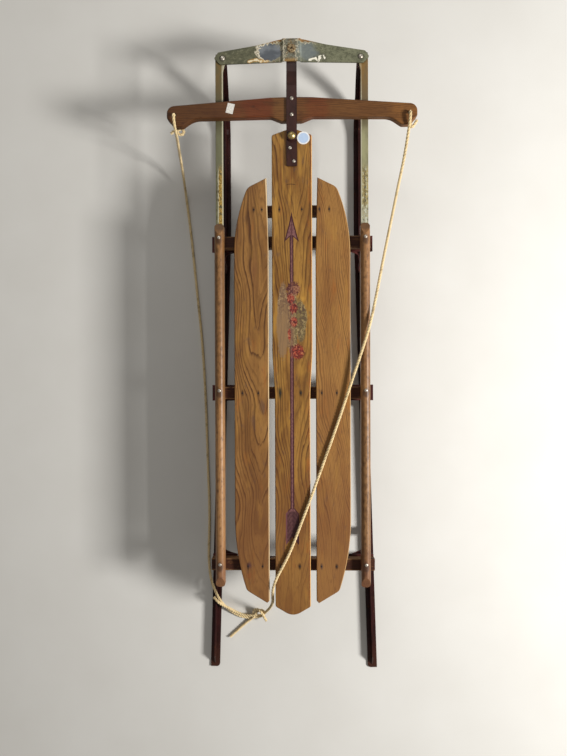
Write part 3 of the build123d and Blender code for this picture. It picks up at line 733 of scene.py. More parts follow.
def rail_colour(finish):
    """Brown varnished wood with mottled dirt, for a rail."""
    side = abs(finish.x)
    rings = grain(finish, side, finish.y, finish.z - rail_top, pith=120.0, depth=30.0, taper=0.015,
                  ring=3.0, sway=14.0, seed=41.0, reach=1)
    dashes = pores(finish, 1, 43.0)
    mottle = finish.noise((6.0, 11.0), detail=5.0, seed=45.0, roughness=0.65)
    blotch = finish.noise((30.0, 120.0), detail=2.0, seed=47.0)
    right = finish.x.ramp(-1.0, 1.0)
    wood = finish.mix(rgb(150, 104, 56), rgb(154, 112, 70), right)
    wood = wood.coat(rgb(120, 82, 46), blotch.ramp(0.3, 0.7))
    ahead = finish.y.ramp(-160.0, 0.0)
    dim = right * (1 - ahead) + (1 - right) * ahead * 0.9
    wood = wood.coat(rgb(94, 66, 36), dim * 0.5)
    wood = wood.coat(rgb(172, 128, 82), (1 - right) * (1 - ahead) * 0.5)
    wood = wood.coat(rgb(66, 40, 26), (rings * 0.6).most(dashes * 0.35))
    wood = wood.coat(rgb(54, 33, 22), mottle.ramp(0.5, 0.72) * 0.6)
    # The top is painted paler in patches: polish, and a painted highlight on the round top.
    crest_polish_and_highlight = (finish.z - rail_top).ramp(-5.0, 0.0) * mottle.ramp(0.6, 0.35)
    wood = wood.coat(rgb(176, 132, 86), crest_polish_and_highlight * 0.3)
    sloped_end = finish.y.ramp(rail_front - RAIL_END, rail_front - RAIL_END + 4.0)
    wood = wood.coat(rgb(84, 60, 38), sloped_end * 0.6)
    behind = 1 - finish.y.ramp(-430.0, -330.0)
    wood = wood.coat(rgb(96, 54, 40), behind * 0.5)
    screws = [(side_sign * rail_x, y) for side_sign in (-1, 1) for y in beam_y.values()]
    worn = 1 - finish.nearest(screws, 1.6).ramp(4.0, 8.0)
    wood = wood.coat(rgb(52, 32, 24), worn * 0.7)
    finish.put("Roughness", 0.34 + mottle * 0.3)
    return wood, mottle


rail_wood, rail_mottle = rail_colour(rail_finish)
rail_finish.put("Base Color", rail_wood)
rail_finish.raise_by(rail_mottle, 0.25)
paint(rail_finish, "side_rail_left", "side_rail_right")
print("rails are stained brown")

# %% [markdown]
# The beams and the cleat lie across, in the shade below the slats. They are stained a dark red-brown and
# bare in places, and a broken pale line along their long edges is a painted highlight on the rounded edges.

# %% Cross beams
BEAM_RINGS_Z = 150.0
BEAM_NODES = ("cross_beam_front", "cross_beam_middle", "cross_beam_rear", "front_cleat")
beam_finish = Finish("maroon_stained_beam", {"Specular IOR Level": 0.2})
beam_up = beam_finish.z - BEAM_RINGS_Z
beam_rings = grain(beam_finish, beam_finish.y, beam_finish.x, beam_up, pith=60.0, depth=50.0,
                   taper=0.01, ring=3.4, sway=16.0, seed=51.0, reach=0)
beam_rub = beam_finish.noise((14.0, 8.0, 8.0), detail=5.0, seed=53.0)
beam_bare = beam_rub.ramp(0.56, 0.66)
beam_colour = beam_finish.mix(rgb(66, 34, 20), rgb(100, 66, 36), beam_bare * 0.7)
beam_colour = beam_colour.coat(rgb(34, 18, 10), beam_rings * 0.7)
for beam_node in BEAM_NODES:
    low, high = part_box(beam_node)
    beam_half = (high.y - low.y) / 2 / MM
    from_edge = abs(abs(beam_finish.y - middle_y(beam_node)) - beam_half + 1.0)
    # A broken pale line along each long edge: painted highlight on the rounded edge.
    edge_highlight = (1 - from_edge.ramp(0.6, 1.8)) * beam_rub.ramp(0.36, 0.5)
    beam_colour = beam_colour.coat(rgb(140, 104, 66), edge_highlight * 0.6)
beam_finish.put("Base Color", beam_colour)
beam_finish.put("Roughness", 0.42 + beam_rub * 0.3)
beam_finish.raise_by(1 - beam_rings, 0.15)
paint(beam_finish, *BEAM_NODES)
print("beams are stained")

# %% [markdown]
# The steering bar is a redder, denser wood with its grain along the bar. Two worn stains of red flank the
# strap, a bare tan patch lies on its left, and hands rubbed the bar's right end to an orange tan. Its left
# end is painted darker: painted shade.

# %% Steering bar
RED_STAINS = ((-72.0, 36.0, 0.4), (56.0, 24.0, 0.3))
bar_gloss = {"Specular IOR Level": 0.14, "Coat Roughness": 0.32, "Coat Weight": 0.06}
bar_finish = Finish("reddish_bar_wood", bar_gloss)


def bar_colour(finish):
    """Red-brown varnished wood with old red stains and a rubbed end."""
    rings = grain(finish, finish.y, finish.x, finish.z - bar_top, pith=500.0, depth=30.0, taper=0.02,
                  ring=3.2, sway=22.0, seed=61.0, reach=0)
    dashes = pores(finish, 0, 63.0)
    blotch = finish.noise((90.0, 30.0, 30.0), detail=3.0, seed=65.0)
    cloud = finish.noise((24.0, 14.0), detail=4.0, seed=67.0)
    wood = finish.mix(rgb(106, 68, 36), rgb(86, 52, 28), blotch.ramp(0.3, 0.7))
    wood = wood.coat(rgb(112, 76, 42), finish.x.ramp(20.0, 120.0) * 0.5)
    # The left end is painted darker: painted shade.
    wood = wood.coat(rgb(72, 44, 22), (1 - finish.x.ramp(-210.0, -110.0)) * 0.5)
    for x, half, weight in RED_STAINS:
        stain = 1 - (abs(finish.x - x) / half + cloud.shift(2.4)).ramp(0.4, 1.5)
        wood = wood.coat(rgb(114, 42, 24), stain * weight)
    tan = 1 - (abs(finish.x + 24.0) + cloud.shift(20.0)).ramp(8.0, 20.0)
    wood = wood.coat(rgb(118, 82, 44), tan * 0.6)
    hand = finish.x.ramp(195.0, 225.0)
    wood = wood.coat(rgb(138, 92, 46), hand * cloud.ramp(0.3, 0.6) * 0.7)
    wood = wood.coat(rgb(48, 26, 16), (rings * 0.7).most(dashes * 0.45))
    scuff = cloud.ramp(0.6, 0.75)
    wood = wood.coat(rgb(66, 38, 26), scuff * 0.5)
    finish.put("Roughness", 0.38 + cloud * 0.25)
    return wood, rings


bar_wood, bar_rings = bar_colour(bar_finish)
bar_finish.put("Base Color", bar_wood)
bar_finish.raise_by(1 - bar_rings, 0.12)
paint(bar_finish, "steering_bar")
print("steering bar is stained")

# %% [markdown]
# Runners, knees, strap and pivot plate are steel under old dark maroon enamel. It is glossy where it is
# whole, chipped to rust in places and at the tails, and dull with dust elsewhere. The chips come from one
# noise that is cut at two heights: rust below, and a thin dark lip at the paint's edge.

# %% Maroon steel
def maroon_finish(name, base, worn, chip_low, chip_high, seed):
    """Old enamel over steel. The chips cover more as chip_low and chip_high fall."""
    finish = Finish(name, {"Specular IOR Level": 0.12, "Coat Roughness": 0.22})
    cloud = finish.noise((22.0, 40.0), detail=3.0, seed=seed)
    chips = finish.noise((5.0, 7.0), detail=6.0, seed=seed + 2.0, roughness=0.62)
    dust = finish.noise(1.6, detail=3.0, seed=seed + 4.0)
    colour = finish.mix(base, worn, cloud.ramp(0.32, 0.7))
    bare = chips.ramp(chip_low, chip_high)
    lip = chips.ramp(chip_low - 0.03, chip_low)
    colour = colour.coat(rgb(26, 12, 10), lip * 0.6)
    rust = finish.mix(rgb(98, 56, 30), rgb(62, 34, 22), dust)
    colour = colour.coat(rust, bare)
    return finish, colour, bare, chips, dust


def enamel(finish, colour, bare, dust, roughness, gloss, relief):
    """Feeds a maroon finish. Its chips are rougher and lower, and have lost the coat."""
    whole, chipped, dusty = roughness
    finish.put("Base Color", colour)
    finish.put("Roughness", whole + bare * chipped + dust * dusty)
    finish.put("Coat Weight", gloss - bare * gloss)
    finish.raise_by(1 - bare * 0.7 + dust * 0.2, relief)


runner_finish, runner_colour, runner_bare, runner_chips, runner_dust = maroon_finish(
    "maroon_runner_enamel", rgb(56, 26, 24), rgb(40, 20, 18), 0.6, 0.66, 71.0
)
sole = 1 - runner_finish.z.ramp(0.3, 1.6)
runner_steel = runner_finish.mix(rgb(120, 112, 104), rgb(84, 60, 44), runner_dust.ramp(0.35, 0.65))
runner_colour = runner_colour.coat(runner_steel, sole)
tail = 1 - (runner_finish.y + runner_chips.shift(160.0)).ramp(-700.0, -620.0)
runner_colour = runner_colour.coat(rgb(70, 42, 30), tail * 0.55)
runner_finish.put("Metallic", (sole * 0.8).most(runner_bare * 0.25))
enamel(runner_finish, runner_colour, runner_bare, runner_dust, (0.3, 0.45, 0.15), gloss=0.12, relief=0.2)

knee_finish, knee_colour, knee_bare, _, knee_dust = maroon_finish(
    "maroon_knee_enamel", rgb(84, 42, 38), rgb(56, 28, 26), 0.62, 0.68, 77.0
)
enamel(knee_finish, knee_colour, knee_bare, knee_dust, (0.3, 0.45, 0.15), gloss=0.15, relief=0.2)
paint(knee_finish, *[name for name in nodes if name.startswith("knee_")])

strap_finish, strap_colour, strap_bare, _, strap_dust = maroon_finish(
    "maroon_strap_enamel", rgb(62, 37, 32), rgb(45, 28, 25), 0.64, 0.7, 83.0
)
strap_edge = abs(strap_finish.x).ramp(8.6, 10.8)
strap_colour = strap_colour.coat(rgb(30, 17, 15), strap_edge * 0.5)
strap_front = strap_finish.y.ramp(610.0, 680.0)
strap_colour = strap_colour.coat(rgb(38, 31, 28), strap_front * 0.7)
enamel(strap_finish, strap_colour, strap_bare, strap_dust, (0.32, 0.4, 0.2), gloss=0.12, relief=0.15)
paint(strap_finish, "steering_strap", "pivot_plate")
print("maroon enamel is on")

# %% [markdown]
# The bumper and the long front strips have a grey-green enamel over a pale undercoat. Left of the bumper's
# raised middle it has flaked off in a large patch that shows blue-grey steel, ringed by the broken white
# undercoat. Right of it lies a pale smear, and the middle itself is rubbed and rusty. The patch is an oval
# whose edge is moved in and out by noise, and the same distance that bares the steel also draws its ring.

# %% Grey-green steel
BARE_PATCH = (-44.5, 683.5, 26.0, 18.5)
PALE_PATCH = (30.0, 686.0, 32.0, 30.0)
CREAM_FLAKE = ((-92.0, 664.0), (-76.0, 667.5), (-66.0, 664.5), (-52.0, 665.5))
WHITE_FLAKE = ((37.3, 665.8), (51.5, 670.1), (57.0, 660.1), (60.0, 673.2), (67.0, 676.0), (71.2, 668.8))
HUMP_X = -3.0
HUMP_HALF = 14.0
RIM_BOW = 0.00105
BUMPER_RIVET = (147.0, 672.0)


def stroke(finish, places):
    """Distance in plan from a line through some places."""
    found = None
    for (ax, ay), (bx, by) in zip(places, places[1:]):
        run = math.hypot(bx - ax, by - ay)
        way_x, way_y = (bx - ax) / run, (by - ay) / run
        side, ahead = finish.x - ax, finish.y - ay
        along = side * way_x + ahead * way_y
        across = ahead * way_x - side * way_y
        past = (along - run).most(0 - along).most(0.0)
        part = (past * past + across * across).root()
        found = part if found is None else found.least(part)
    return found


bumper_finish = Finish("flaking_grey_green_enamel", {"Specular IOR Level": 0.25})


def bumper_colour(finish):
    """Grey-green enamel that has flaked to undercoat, steel and rust."""
    ragged = finish.noise(7.0, detail=6.0, seed=91.0, roughness=0.68)
    speck = finish.noise(2.4, detail=4.0, seed=93.0)
    cloud = finish.noise((34.0, 20.0), detail=3.0, seed=95.0)
    colour = finish.mix(rgb(92, 90, 68), rgb(110, 110, 86), finish.x.ramp(-110.0, 90.0))
    mottle = finish.noise((7.0, 5.0), detail=4.0, seed=97.0, roughness=0.6)
    colour = colour.coat(rgb(78, 78, 60), cloud.ramp(0.45, 0.7) * 0.6)
    colour = colour.coat(rgb(70, 70, 52), mottle.ramp(0.5, 0.62) * 0.55)
    colour = colour.coat(rgb(132, 130, 104), (1 - mottle.ramp(0.34, 0.44)) * 0.5)
    colour = colour.coat(rgb(40, 38, 30), speck.ramp(0.58, 0.66) * 0.7)

    pale = (oval(finish, *PALE_PATCH) + cloud.shift(1.2) + ragged.shift(0.6)).ramp(0.0, 0.6)
    pale_colour = finish.mix(rgb(142, 148, 144), rgb(112, 120, 122), finish.x.ramp(12.0, 30.0))
    colour = colour.coat(pale_colour, pale * 0.65)
    inside = oval(finish, *BARE_PATCH) + ragged.shift(1.5)
    bare = inside.ramp(0.02, 0.08)
    steel = finish.mix(rgb(122, 126, 130), rgb(86, 90, 96), cloud.ramp(0.35, 0.6))
    colour = colour.coat(steel, bare * 0.9)
    ring = 1 - abs(inside + 0.06).ramp(0.07, 0.19)
    left_side = 1 - finish.x.ramp(-58.0, -40.0)
    white = ring * (left_side * 0.8 + 0.2) * speck.ramp(0.3, 0.42)
    colour = colour.coat(rgb(226, 216, 190), white * 0.95)
    brown = (1 - abs(inside + 0.12).ramp(0.03, 0.1)) * speck.ramp(0.42, 0.55)
    colour = colour.coat(rgb(92, 62, 30), brown * 0.7)

    cream = stroke(finish, CREAM_FLAKE) + ragged.shift(16.0)
    colour = colour.coat(rgb(176, 132, 62), (1 - cream.ramp(2.2, 4.0)) * 0.85)
    colour = colour.coat(rgb(222, 210, 178), (1 - cream.ramp(0.6, 1.8)) * 0.9)
    zigzag = stroke(finish, WHITE_FLAKE) + ragged.shift(17.0)
    colour = colour.coat(rgb(56, 52, 40), (1 - zigzag.ramp(2.4, 4.0)) * 0.6)
    colour = colour.coat(rgb(232, 226, 206), 1 - zigzag.ramp(1.2, 2.4))

    rim = front_y - 2.0 - finish.x * finish.x * RIM_BOW - finish.y
    fringe = rim + ragged.shift(26.0)
    near_middle = 1 - abs(finish.x + 10.0).ramp(40.0, 75.0)
    colour = colour.coat(rgb(140, 98, 50), (1 - fringe.ramp(0.5, 3.0)) * near_middle * 0.8)
    colour = colour.coat(rgb(220, 206, 172), (1 - abs(fringe - 4.0).ramp(0.3, 1.4)) * near_middle * 0.7)

    from_hump = abs(finish.x - HUMP_X)
    hump = 1 - (from_hump + ragged.shift(44.0)).ramp(HUMP_HALF - 3.0, HUMP_HALF + 2.0)
    gold = finish.mix(rgb(112, 112, 98), rgb(122, 100, 64), ragged.ramp(0.46, 0.6))
    gold = gold.coat(rgb(58, 48, 34), mottle.ramp(0.5, 0.62) * 0.75)
    gold = gold.coat(rgb(170, 162, 134), (1 - mottle.ramp(0.34, 0.42)) * 0.7)
    rear_gold = 1 - (finish.y + ragged.shift(16.0)).ramp(663.0, 670.0)
    gold = gold.coat(rgb(166, 122, 54), rear_gold * 0.7)
    colour = colour.coat(gold, hump * 0.9)
    pale_rim = 1 - abs(from_hump - HUMP_HALF + ragged.shift(52.0)).ramp(0.5, 2.6)
    colour = colour.coat(rgb(222, 212, 184), pale_rim * speck.ramp(0.4, 0.5) * 0.7)
    shadow_rim = 1 - abs(from_hump - HUMP_HALF + 4.0 + ragged.shift(46.0)).ramp(0.5, 2.4)
    colour = colour.coat(rgb(58, 42, 26), shadow_rim * speck.ramp(0.45, 0.55) * 0.7)
    near_eye = 1 - (finish.distance(0.0, eyelet_y) + ragged.shift(14.0)).ramp(8.0, 12.0)
    colour = colour.coat(rgb(84, 70, 48), near_eye * 0.6)
    rivet_x, rivet_y = BUMPER_RIVET
    rivet_dirt = 1 - finish.nearest([(-rivet_x, rivet_y), (rivet_x, rivet_y)]).ramp(5.0, 9.0)
    colour = colour.coat(rgb(44, 40, 30), rivet_dirt * 0.6)
    # Below its top face the bumper is painted darker: painted shade on its sides.
    lower = 1 - finish.z.ramp(bumper_top - 2.0, bumper_top - 0.6)
    colour = colour.coat(rgb(52, 42, 30), lower * 0.7)
    finish.put("Metallic", bare * 0.4)
    finish.put("Roughness", 0.5 + speck * 0.25 - bare * 0.1)
    return colour, ragged, bare


bumper_skin, bumper_ragged, bumper_bare = bumper_colour(bumper_finish)
bumper_finish.put("Base Color", bumper_skin)
bumper_finish.raise_by((1 - bumper_bare) * 0.6 + bumper_ragged * 0.4, 0.5)
paint(bumper_finish, "bumper")

GOLD_FLAKE_FRONT = 452.0
GOLD_FLAKE_REAR = 319.0
STRIP_INNER = 148.6
strip_finish = Finish("worn_strip_enamel", {"Specular IOR Level": 0.25})


def strip_colour(finish):
    """Grey-green enamel of a strip, flaked to yellow over a stretch, with a pale inner edge that is rubbed
    enamel and a painted highlight.
    """
    ragged = finish.noise((5.0, 8.0), detail=5.0, seed=101.0, roughness=0.65)
    speck = finish.noise((2.0, 2.6), detail=4.0, seed=103.0)
    cloud = finish.noise((20.0, 60.0), detail=3.0, seed=105.0)
    right = finish.x.ramp(-1.0, 1.0)
    ahead = finish.y.ramp(500.0, 560.0)
    left_olive = finish.mix(rgb(104, 102, 76), rgb(90, 82, 56), ahead)
    right_olive = finish.mix(rgb(146, 142, 106), rgb(102, 86, 62), ahead)
    colour = finish.mix(left_olive, right_olive, right)
    colour = colour.coat(rgb(76, 70, 52), cloud.ramp(0.4, 0.7) * 0.6)
    colour = colour.coat(rgb(50, 44, 30), speck.ramp(0.6, 0.72) * 0.5)
    stretch = finish.y.ramp(GOLD_FLAKE_REAR - 4.0, GOLD_FLAKE_REAR + 4.0) * (
        1 - finish.y.ramp(GOLD_FLAKE_FRONT - 30.0, GOLD_FLAKE_FRONT)
    )
    from_inside = abs(finish.x) - STRIP_INNER
    left_share = 1 - (from_inside + ragged.shift(6.0)).ramp(7.0, 9.0)
    flake = stretch * ragged.ramp(0.38, 0.45) * left_share * (1 - right)
    gold = finish.mix(rgb(176, 138, 52), rgb(116, 90, 34), speck.ramp(0.45, 0.56))
    gold = gold.coat(rgb(214, 196, 148), (1 - speck.ramp(0.36, 0.42)) * 0.7)
    colour = colour.coat(gold, flake * 0.92)
    left_border = (1 - abs(from_inside + ragged.shift(6.0) - 9.0).ramp(0.4, 1.4)) * stretch * (1 - right)
    colour = colour.coat(rgb(196, 188, 160), left_border * 0.7)
    behind = 1 - finish.y.ramp(345.0, 365.0)
    ground = finish.mix(rgb(146, 136, 98), rgb(148, 152, 138), behind)
    colour = colour.coat(ground, stretch * right * 0.9)
    colour = colour.coat(rgb(204, 200, 172), stretch * right * ragged.ramp(0.53, 0.61) * 0.7)
    middle = (1 - (abs(from_inside - 7.0) + speck.shift(14.0)).ramp(1.0, 2.6)) * (1 - behind)
    colour = colour.coat(rgb(46, 38, 22), stretch * right * middle * ragged.ramp(0.4, 0.46) * 0.85)
    dark_flake = stretch * (1 - ragged.ramp(0.41, 0.46))
    colour = colour.coat(rgb(58, 50, 30), dark_flake * 0.75)
    yellow_flake = stretch * right * (1 - abs(ragged - 0.48).ramp(0.01, 0.03))
    colour = colour.coat(rgb(176, 148, 76), yellow_flake * 0.6)
    # The pale inner edge is rubbed enamel and a painted highlight.
    inner_rub_and_highlight = 1 - (from_inside + ragged.shift(2.0)).ramp(0.2, 1.4)
    colour = colour.coat(rgb(186, 180, 154), inner_rub_and_highlight * 0.75)
    rust = finish.y.ramp(560.0, 660.0) * cloud.ramp(0.4, 0.56)
    colour = colour.coat(rgb(132, 98, 46), rust * (0.45 + right * 0.25))
    # Below its top face the strip is painted darker: painted shade on its sides.
    lower = 1 - finish.z.ramp(strip_top - 2.2, strip_top - 0.8)
    colour = colour.coat(rgb(48, 37, 27), lower * 0.7)
    finish.put("Roughness", 0.48 + speck * 0.3)
    return colour, ragged


strip_skin, strip_ragged = strip_colour(strip_finish)
strip_finish.put("Base Color", strip_skin)
strip_finish.raise_by(strip_ragged, 0.35)
print("grey-green enamel is on")

# %% [markdown]
# Small metals: the brass dome of the pivot bolt, the rusty eyelet, dark iron nails, and rivets and
# screws whose crowns are rubbed bright.

# %% Small metals
def small_metal(name, metallic, colours, roughness, relief, lump, seed, cut=None, detail=4.0):
    """A metal whose colour, roughness and relief follow one fine cloud.
    cut is where its second colour starts and is full. Without it the two blend evenly."""
    finish = Finish(name, {"Metallic": metallic})
    cloud = finish.noise(lump, detail=detail, seed=seed)
    first, second = colours
    finish.put("Base Color", finish.mix(first, second, cloud.ramp(*cut) if cut else cloud))
    finish.put("Roughness", roughness[0] + cloud * roughness[1])
    finish.raise_by(cloud, relief)
    return finish


brass_finish = small_metal(
    "dull_brass", 0.9, (rgb(206, 186, 130), rgb(150, 122, 66)),
    roughness=(0.24, 0.25), relief=0.15, lump=3.0, seed=111.0, cut=(0.35, 0.7)
)
rust_finish = small_metal(
    "rusty_eyelet_steel", 0.55, (rgb(150, 132, 98), rgb(98, 66, 36)),
    roughness=(0.42, 0.35), relief=0.3, lump=3.0, seed=113.0, cut=(0.4, 0.62), detail=5.0
)
bright_finish = small_metal(
    "rubbed_rivet_steel", 0.75, (rgb(208, 200, 186), rgb(132, 118, 100)),
    roughness=(0.24, 0.3), relief=0.1, lump=1.6, seed=115.0, cut=(0.4, 0.66)
)
iron_finish = small_metal(
    "dark_nail_iron", 0.35, (rgb(50, 34, 26), rgb(28, 20, 16)),
    roughness=(0.5, 0.3), relief=0.1, lump=1.2, seed=117.0
)
paint(brass_finish, "pivot_bolt")
paint(rust_finish, "bumper_eyelet")
print("small metals are ready")

# %% [markdown]
# Rivets, nails, screws and nuts are turned or cut from a short profile and copied to their places as
# one mesh a kind. A lathe-like function spins the profile, because each real one is forged round. The copies
# share an object, since none of them ever moves against the others.

# %% Turned fasteners
PIECE_CREASE = 40.0


def turned(profile, sides=20):
    """Corners and faces of a solid spun about Z from (radius, height) points, from top to bottom."""
    corners = []
    rings = []
    for radius, height in profile:
        if radius == 0:
            rings.append([len(corners)])
            corners.append(Vector((0, 0, height)))
        else:
            rings.append(list(range(len(corners), len(corners) + sides)))
            for step in range(sides):
                angle = 2 * math.pi * step / sides
                corners.append(Vector((radius * math.cos(angle), radius * math.sin(angle), height)))
    faces = []
    for upper, lower in zip(rings, rings[1:]):
        for step in range(sides):
            ahead = (step + 1) % sides
            around = ((upper, step), (lower, step), (lower, ahead), (upper, ahead))
            face = [ring[corner % len(ring)] for ring, corner in around]
            faces.append(list(dict.fromkeys(face)))
    return corners, faces


def dome(radius, height, foot=0.3, steps=5):
    """Profile of a round head that sinks a little into what it holds."""
    points = [(0, height)]
    for step in range(1, steps + 1):
        angle = math.pi / 2 * step / steps
        points.append((radius * math.sin(angle), height * math.cos(angle)))
    return points + [(radius, -foot), (0, -foot)]


def add_piece(name, corners, faces, finish, body, slot):
    """Makes a mesh piece from corners in millimetres, with its finish and body. slot is not used."""
    mesh = bpy.data.meshes.new(name)
    mesh.from_pydata([corner * MM for corner in corners], [], faces)
    mesh.shade_smooth()
    mesh.set_sharp_from_angle(angle=math.radians(PIECE_CREASE))
    mesh.materials.append(finish.material)
    piece = bpy.data.objects.new(name, mesh)
    scene.collection.objects.link(piece)
    if body:
        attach(piece, body)
    return piece


def fasteners(name, shape, spots, finish, body, slot="rusty_steel"):
    """Copies of one fastener, one for each placing matrix, as a single piece."""
    corners, faces = shape
    all_corners = []
    all_faces = []
    for spot in spots:
        start = len(all_corners)
        all_corners += [spot @ corner for corner in corners]
        all_faces += [[start + corner for corner in face] for face in faces]
    add_piece(name, all_corners, all_faces, finish, body, slot)


def upright(x, y, z, turn=0.0):
    """Places a fastener with its axis up."""
    return Matrix.Translation((x, y, z)) @ Matrix.Rotation(math.radians(turn), 4, "Z")


def under(x, y, z):
    """Places a fastener with its head down."""
    return Matrix.Translation((x, y, z)) @ Matrix.Rotation(math.pi, 4, "X")


print("a dome has", len(turned(dome(4, 2))[1]), "faces")

# %% Nails, rivets and screws
NAIL_HEAD = (2.0, 0.35)
RAIL_SCREW_HEAD = (3.6, 1.6)
RAIL_SCREW_FOOT = 1.2
RAIL_SCREW_SINK = 0.4
RAIL_SCREW_AHEAD = 5.5
BUMPER_RIVET_HEAD = (5.0, 3.0)
STRAP_RIVET_YS = (576.8, 542.9)
STRAP_RIVET_HEAD = (4.0, 2.4)
STRAP_RIVET_TAIL = (5.0, 1.6)
PLATE_SCREWS = ((-3.8, 475.5), (4.4, 447.2))
PLATE_SCREW_HEAD = (3.5, 1.5)

nail_spots = [upright(x, y, slat_top) for places in nail_places.values() for x, y in places]
fasteners("slat_nails", turned(dome(*NAIL_HEAD), 12), nail_spots, iron_finish, "sled")

rail_screw_places = [(side * rail_x, y + RAIL_SCREW_AHEAD) for side in (-1, 1) for y in beam_y.values()]
rail_spots = [upright(x, y, rail_top - RAIL_SCREW_SINK) for x, y in rail_screw_places]
rail_screw = turned(dome(*RAIL_SCREW_HEAD, foot=RAIL_SCREW_FOOT))
fasteners("rail_screws", rail_screw, rail_spots, bright_finish, "sled")

bumper_spots = [upright(side * BUMPER_RIVET[0], BUMPER_RIVET[1], bumper_top) for side in (-1, 1)]
fasteners("bumper_rivets", turned(dome(*BUMPER_RIVET_HEAD)), bumper_spots, bright_finish, "bumper")

strap_spots = [upright(0.0, y, strap_top) for y in STRAP_RIVET_YS]
fasteners("strap_rivets", turned(dome(*STRAP_RIVET_HEAD)), strap_spots, bright_finish, "steering")
under_spots = [under(0.0, y, bottom_of("steering_bar")) for y in STRAP_RIVET_YS]
fasteners("strap_rivet_tails", turned(dome(*STRAP_RIVET_TAIL)), under_spots, iron_finish, "steering")

plate_spots = [upright(x, y, plate_top) for x, y in PLATE_SCREWS]
fasteners("pivot_plate_screws", turned(dome(*PLATE_SCREW_HEAD)), plate_spots, bright_finish, "sled")
spots_above = (nail_spots, rail_spots, bumper_spots, strap_spots, plate_spots)
print("fasteners from above", sum(len(spots) for spots in spots_above))

# %% [markdown]
# Below, each rail screw ends in a square nut on the knee's head, and each foot of a knee is riveted through
# the runner's web. The web leans with the runner's splay, so those rivets are laid on their side.

# %% Fasteners below
NUT_CORNER = 3.8 * 1.414
NUT_HEIGHT = 3.5
NUT_SINK = 0.2
BOLT_RADIUS = 2.6
BOLT_EDGE_Z = NUT_HEIGHT + 2.0
BOLT_END_Z = NUT_HEIGHT + 2.5
FOOT_RIVET_HEAD = (4.2, 2.2)
FOOT_RIVET_REACH = 30.0
FOOT_RIVET_Z = 14.0
FRONT_HALF_TRACK = 159.0
SPLAY_START_Y = 345.0
SPLAY_SLOPE = 31.0 / 1055.0
WEB_HALF = 1.5
KNEE_PLATE = 2.5


def square_nut():
    """A square nut with a bolt's end showing, head up, as corners and faces."""
    nut = [(0, NUT_HEIGHT), (NUT_CORNER, NUT_HEIGHT), (NUT_CORNER, -NUT_SINK), (0, -NUT_SINK)]
    bolt_end = [(0, BOLT_END_Z), (BOLT_RADIUS, BOLT_EDGE_Z), (BOLT_RADIUS, 0), (0, 0)]
    corners, faces = turned(nut, 4)
    end_corners, end_faces = turned(bolt_end, 12)
    start = len(corners)
    return corners + end_corners, faces + [[start + corner for corner in face] for face in end_faces]


def web_x(y):
    """Half track of the runner's web at a place along the sled."""
    return FRONT_HALF_TRACK + max(0.0, SPLAY_START_Y - y) * SPLAY_SLOPE


def sideways(x, y, z, way):
    """Places a fastener with its head towards +X or -X."""
    return Matrix.Translation((x, y, z)) @ Matrix.Rotation(way * math.pi / 2, 4, "Y")


knee_names = [(place, side) for place in beam_y for side in ("left", "right")]
eighth_turn = Matrix.Rotation(math.radians(45), 4, "Z")
nut_spots = []
foot_spots = []
for place, side in knee_names:
    way = -1 if side == "left" else 1
    head_low = bottom_of("cross_beam_" + place) - KNEE_PLATE
    nut_spots.append(under(way * rail_x, beam_y[place] + RAIL_SCREW_AHEAD, head_low) @ eighth_turn)
    for end in (-1, 1):
        y = beam_y[place] + end * FOOT_RIVET_REACH
        foot_spots.append(sideways(way * (web_x(y) + WEB_HALF), y, FOOT_RIVET_Z, way))
        foot_spots.append(sideways(way * (web_x(y) - WEB_HALF - KNEE_PLATE), y, FOOT_RIVET_Z, -way))
fasteners("knee_nuts", square_nut(), nut_spots, iron_finish, "sled")
fasteners("knee_foot_rivets", turned(dome(*FOOT_RIVET_HEAD)), foot_spots, knee_finish, "sled", "maroon_steel")
print("nuts", len(nut_spots), "foot rivets", len(foot_spots))

# %% [markdown]
# Two blank paper labels: a round one beside the pivot and a small oblong one on the bar. Paper is thin but
# not a drawn spot: it has an edge, and its corners lift a little.

# %% Blank labels
paper_finish = Finish("label_paper", {"Roughness": 0.75, "Specular IOR Level": 0.3})
paper_grain = paper_finish.noise(3.0, detail=4.0, seed=121.0)
paper_white = paper_finish.mix(rgb(226, 222, 212), rgb(198, 190, 176), paper_grain.ramp(0.35, 0.75))
paper_finish.put("Base Color", paper_white)
paper_finish.raise_by(paper_grain, 0.05)

ROUND_LABEL = (24.8, 496.8)
ROUND_LABEL_RADIUS = 13.4
ROUND_LABEL_BLUE = 10.8
round_finish = Finish("round_label_paper", {"Roughness": 0.6, "Specular IOR Level": 0.35})
round_grain = round_finish.noise(4.0, detail=4.0, seed=123.0)
label_reach = round_finish.distance(*ROUND_LABEL)
label_rim = label_reach.ramp(ROUND_LABEL_BLUE - 0.5, ROUND_LABEL_BLUE + 0.3)
label_blue = round_finish.mix(rgb(172, 190, 214), rgb(186, 204, 226), round_grain)
label_white = round_finish.mix(rgb(232, 230, 226), rgb(206, 200, 190), round_grain.ramp(0.45, 0.8))
round_finish.put("Base Color", round_finish.mix(label_blue, label_white, label_rim))

round_profile = [
    (0, 0.35),
    (ROUND_LABEL_RADIUS * 0.6, 0.33),
    (ROUND_LABEL_RADIUS, 0.45),
    (ROUND_LABEL_RADIUS, 0.2),
    (0, 0.02),
]
label_corners, label_faces = turned(round_profile, 48)
round_spot = upright(*ROUND_LABEL, slat_top)
round_corners = [round_spot @ corner for corner in label_corners]
add_piece("round_label", round_corners, label_faces, round_finish, "sled", "golden_varnished_wood")

TAG_CENTRE = (-129.3, 558.4)
TAG_SIZE = (15.0, 21.0)
TAG_TILT = -14.0
TAG_STEPS = 6
TAG_LAYERS = (0.35, 0.1)
FAR_LIFT, FAR_FLAT = 1.1, 0.45
NEAR_LIFT, NEAR_FLAT = 0.5, 0.6


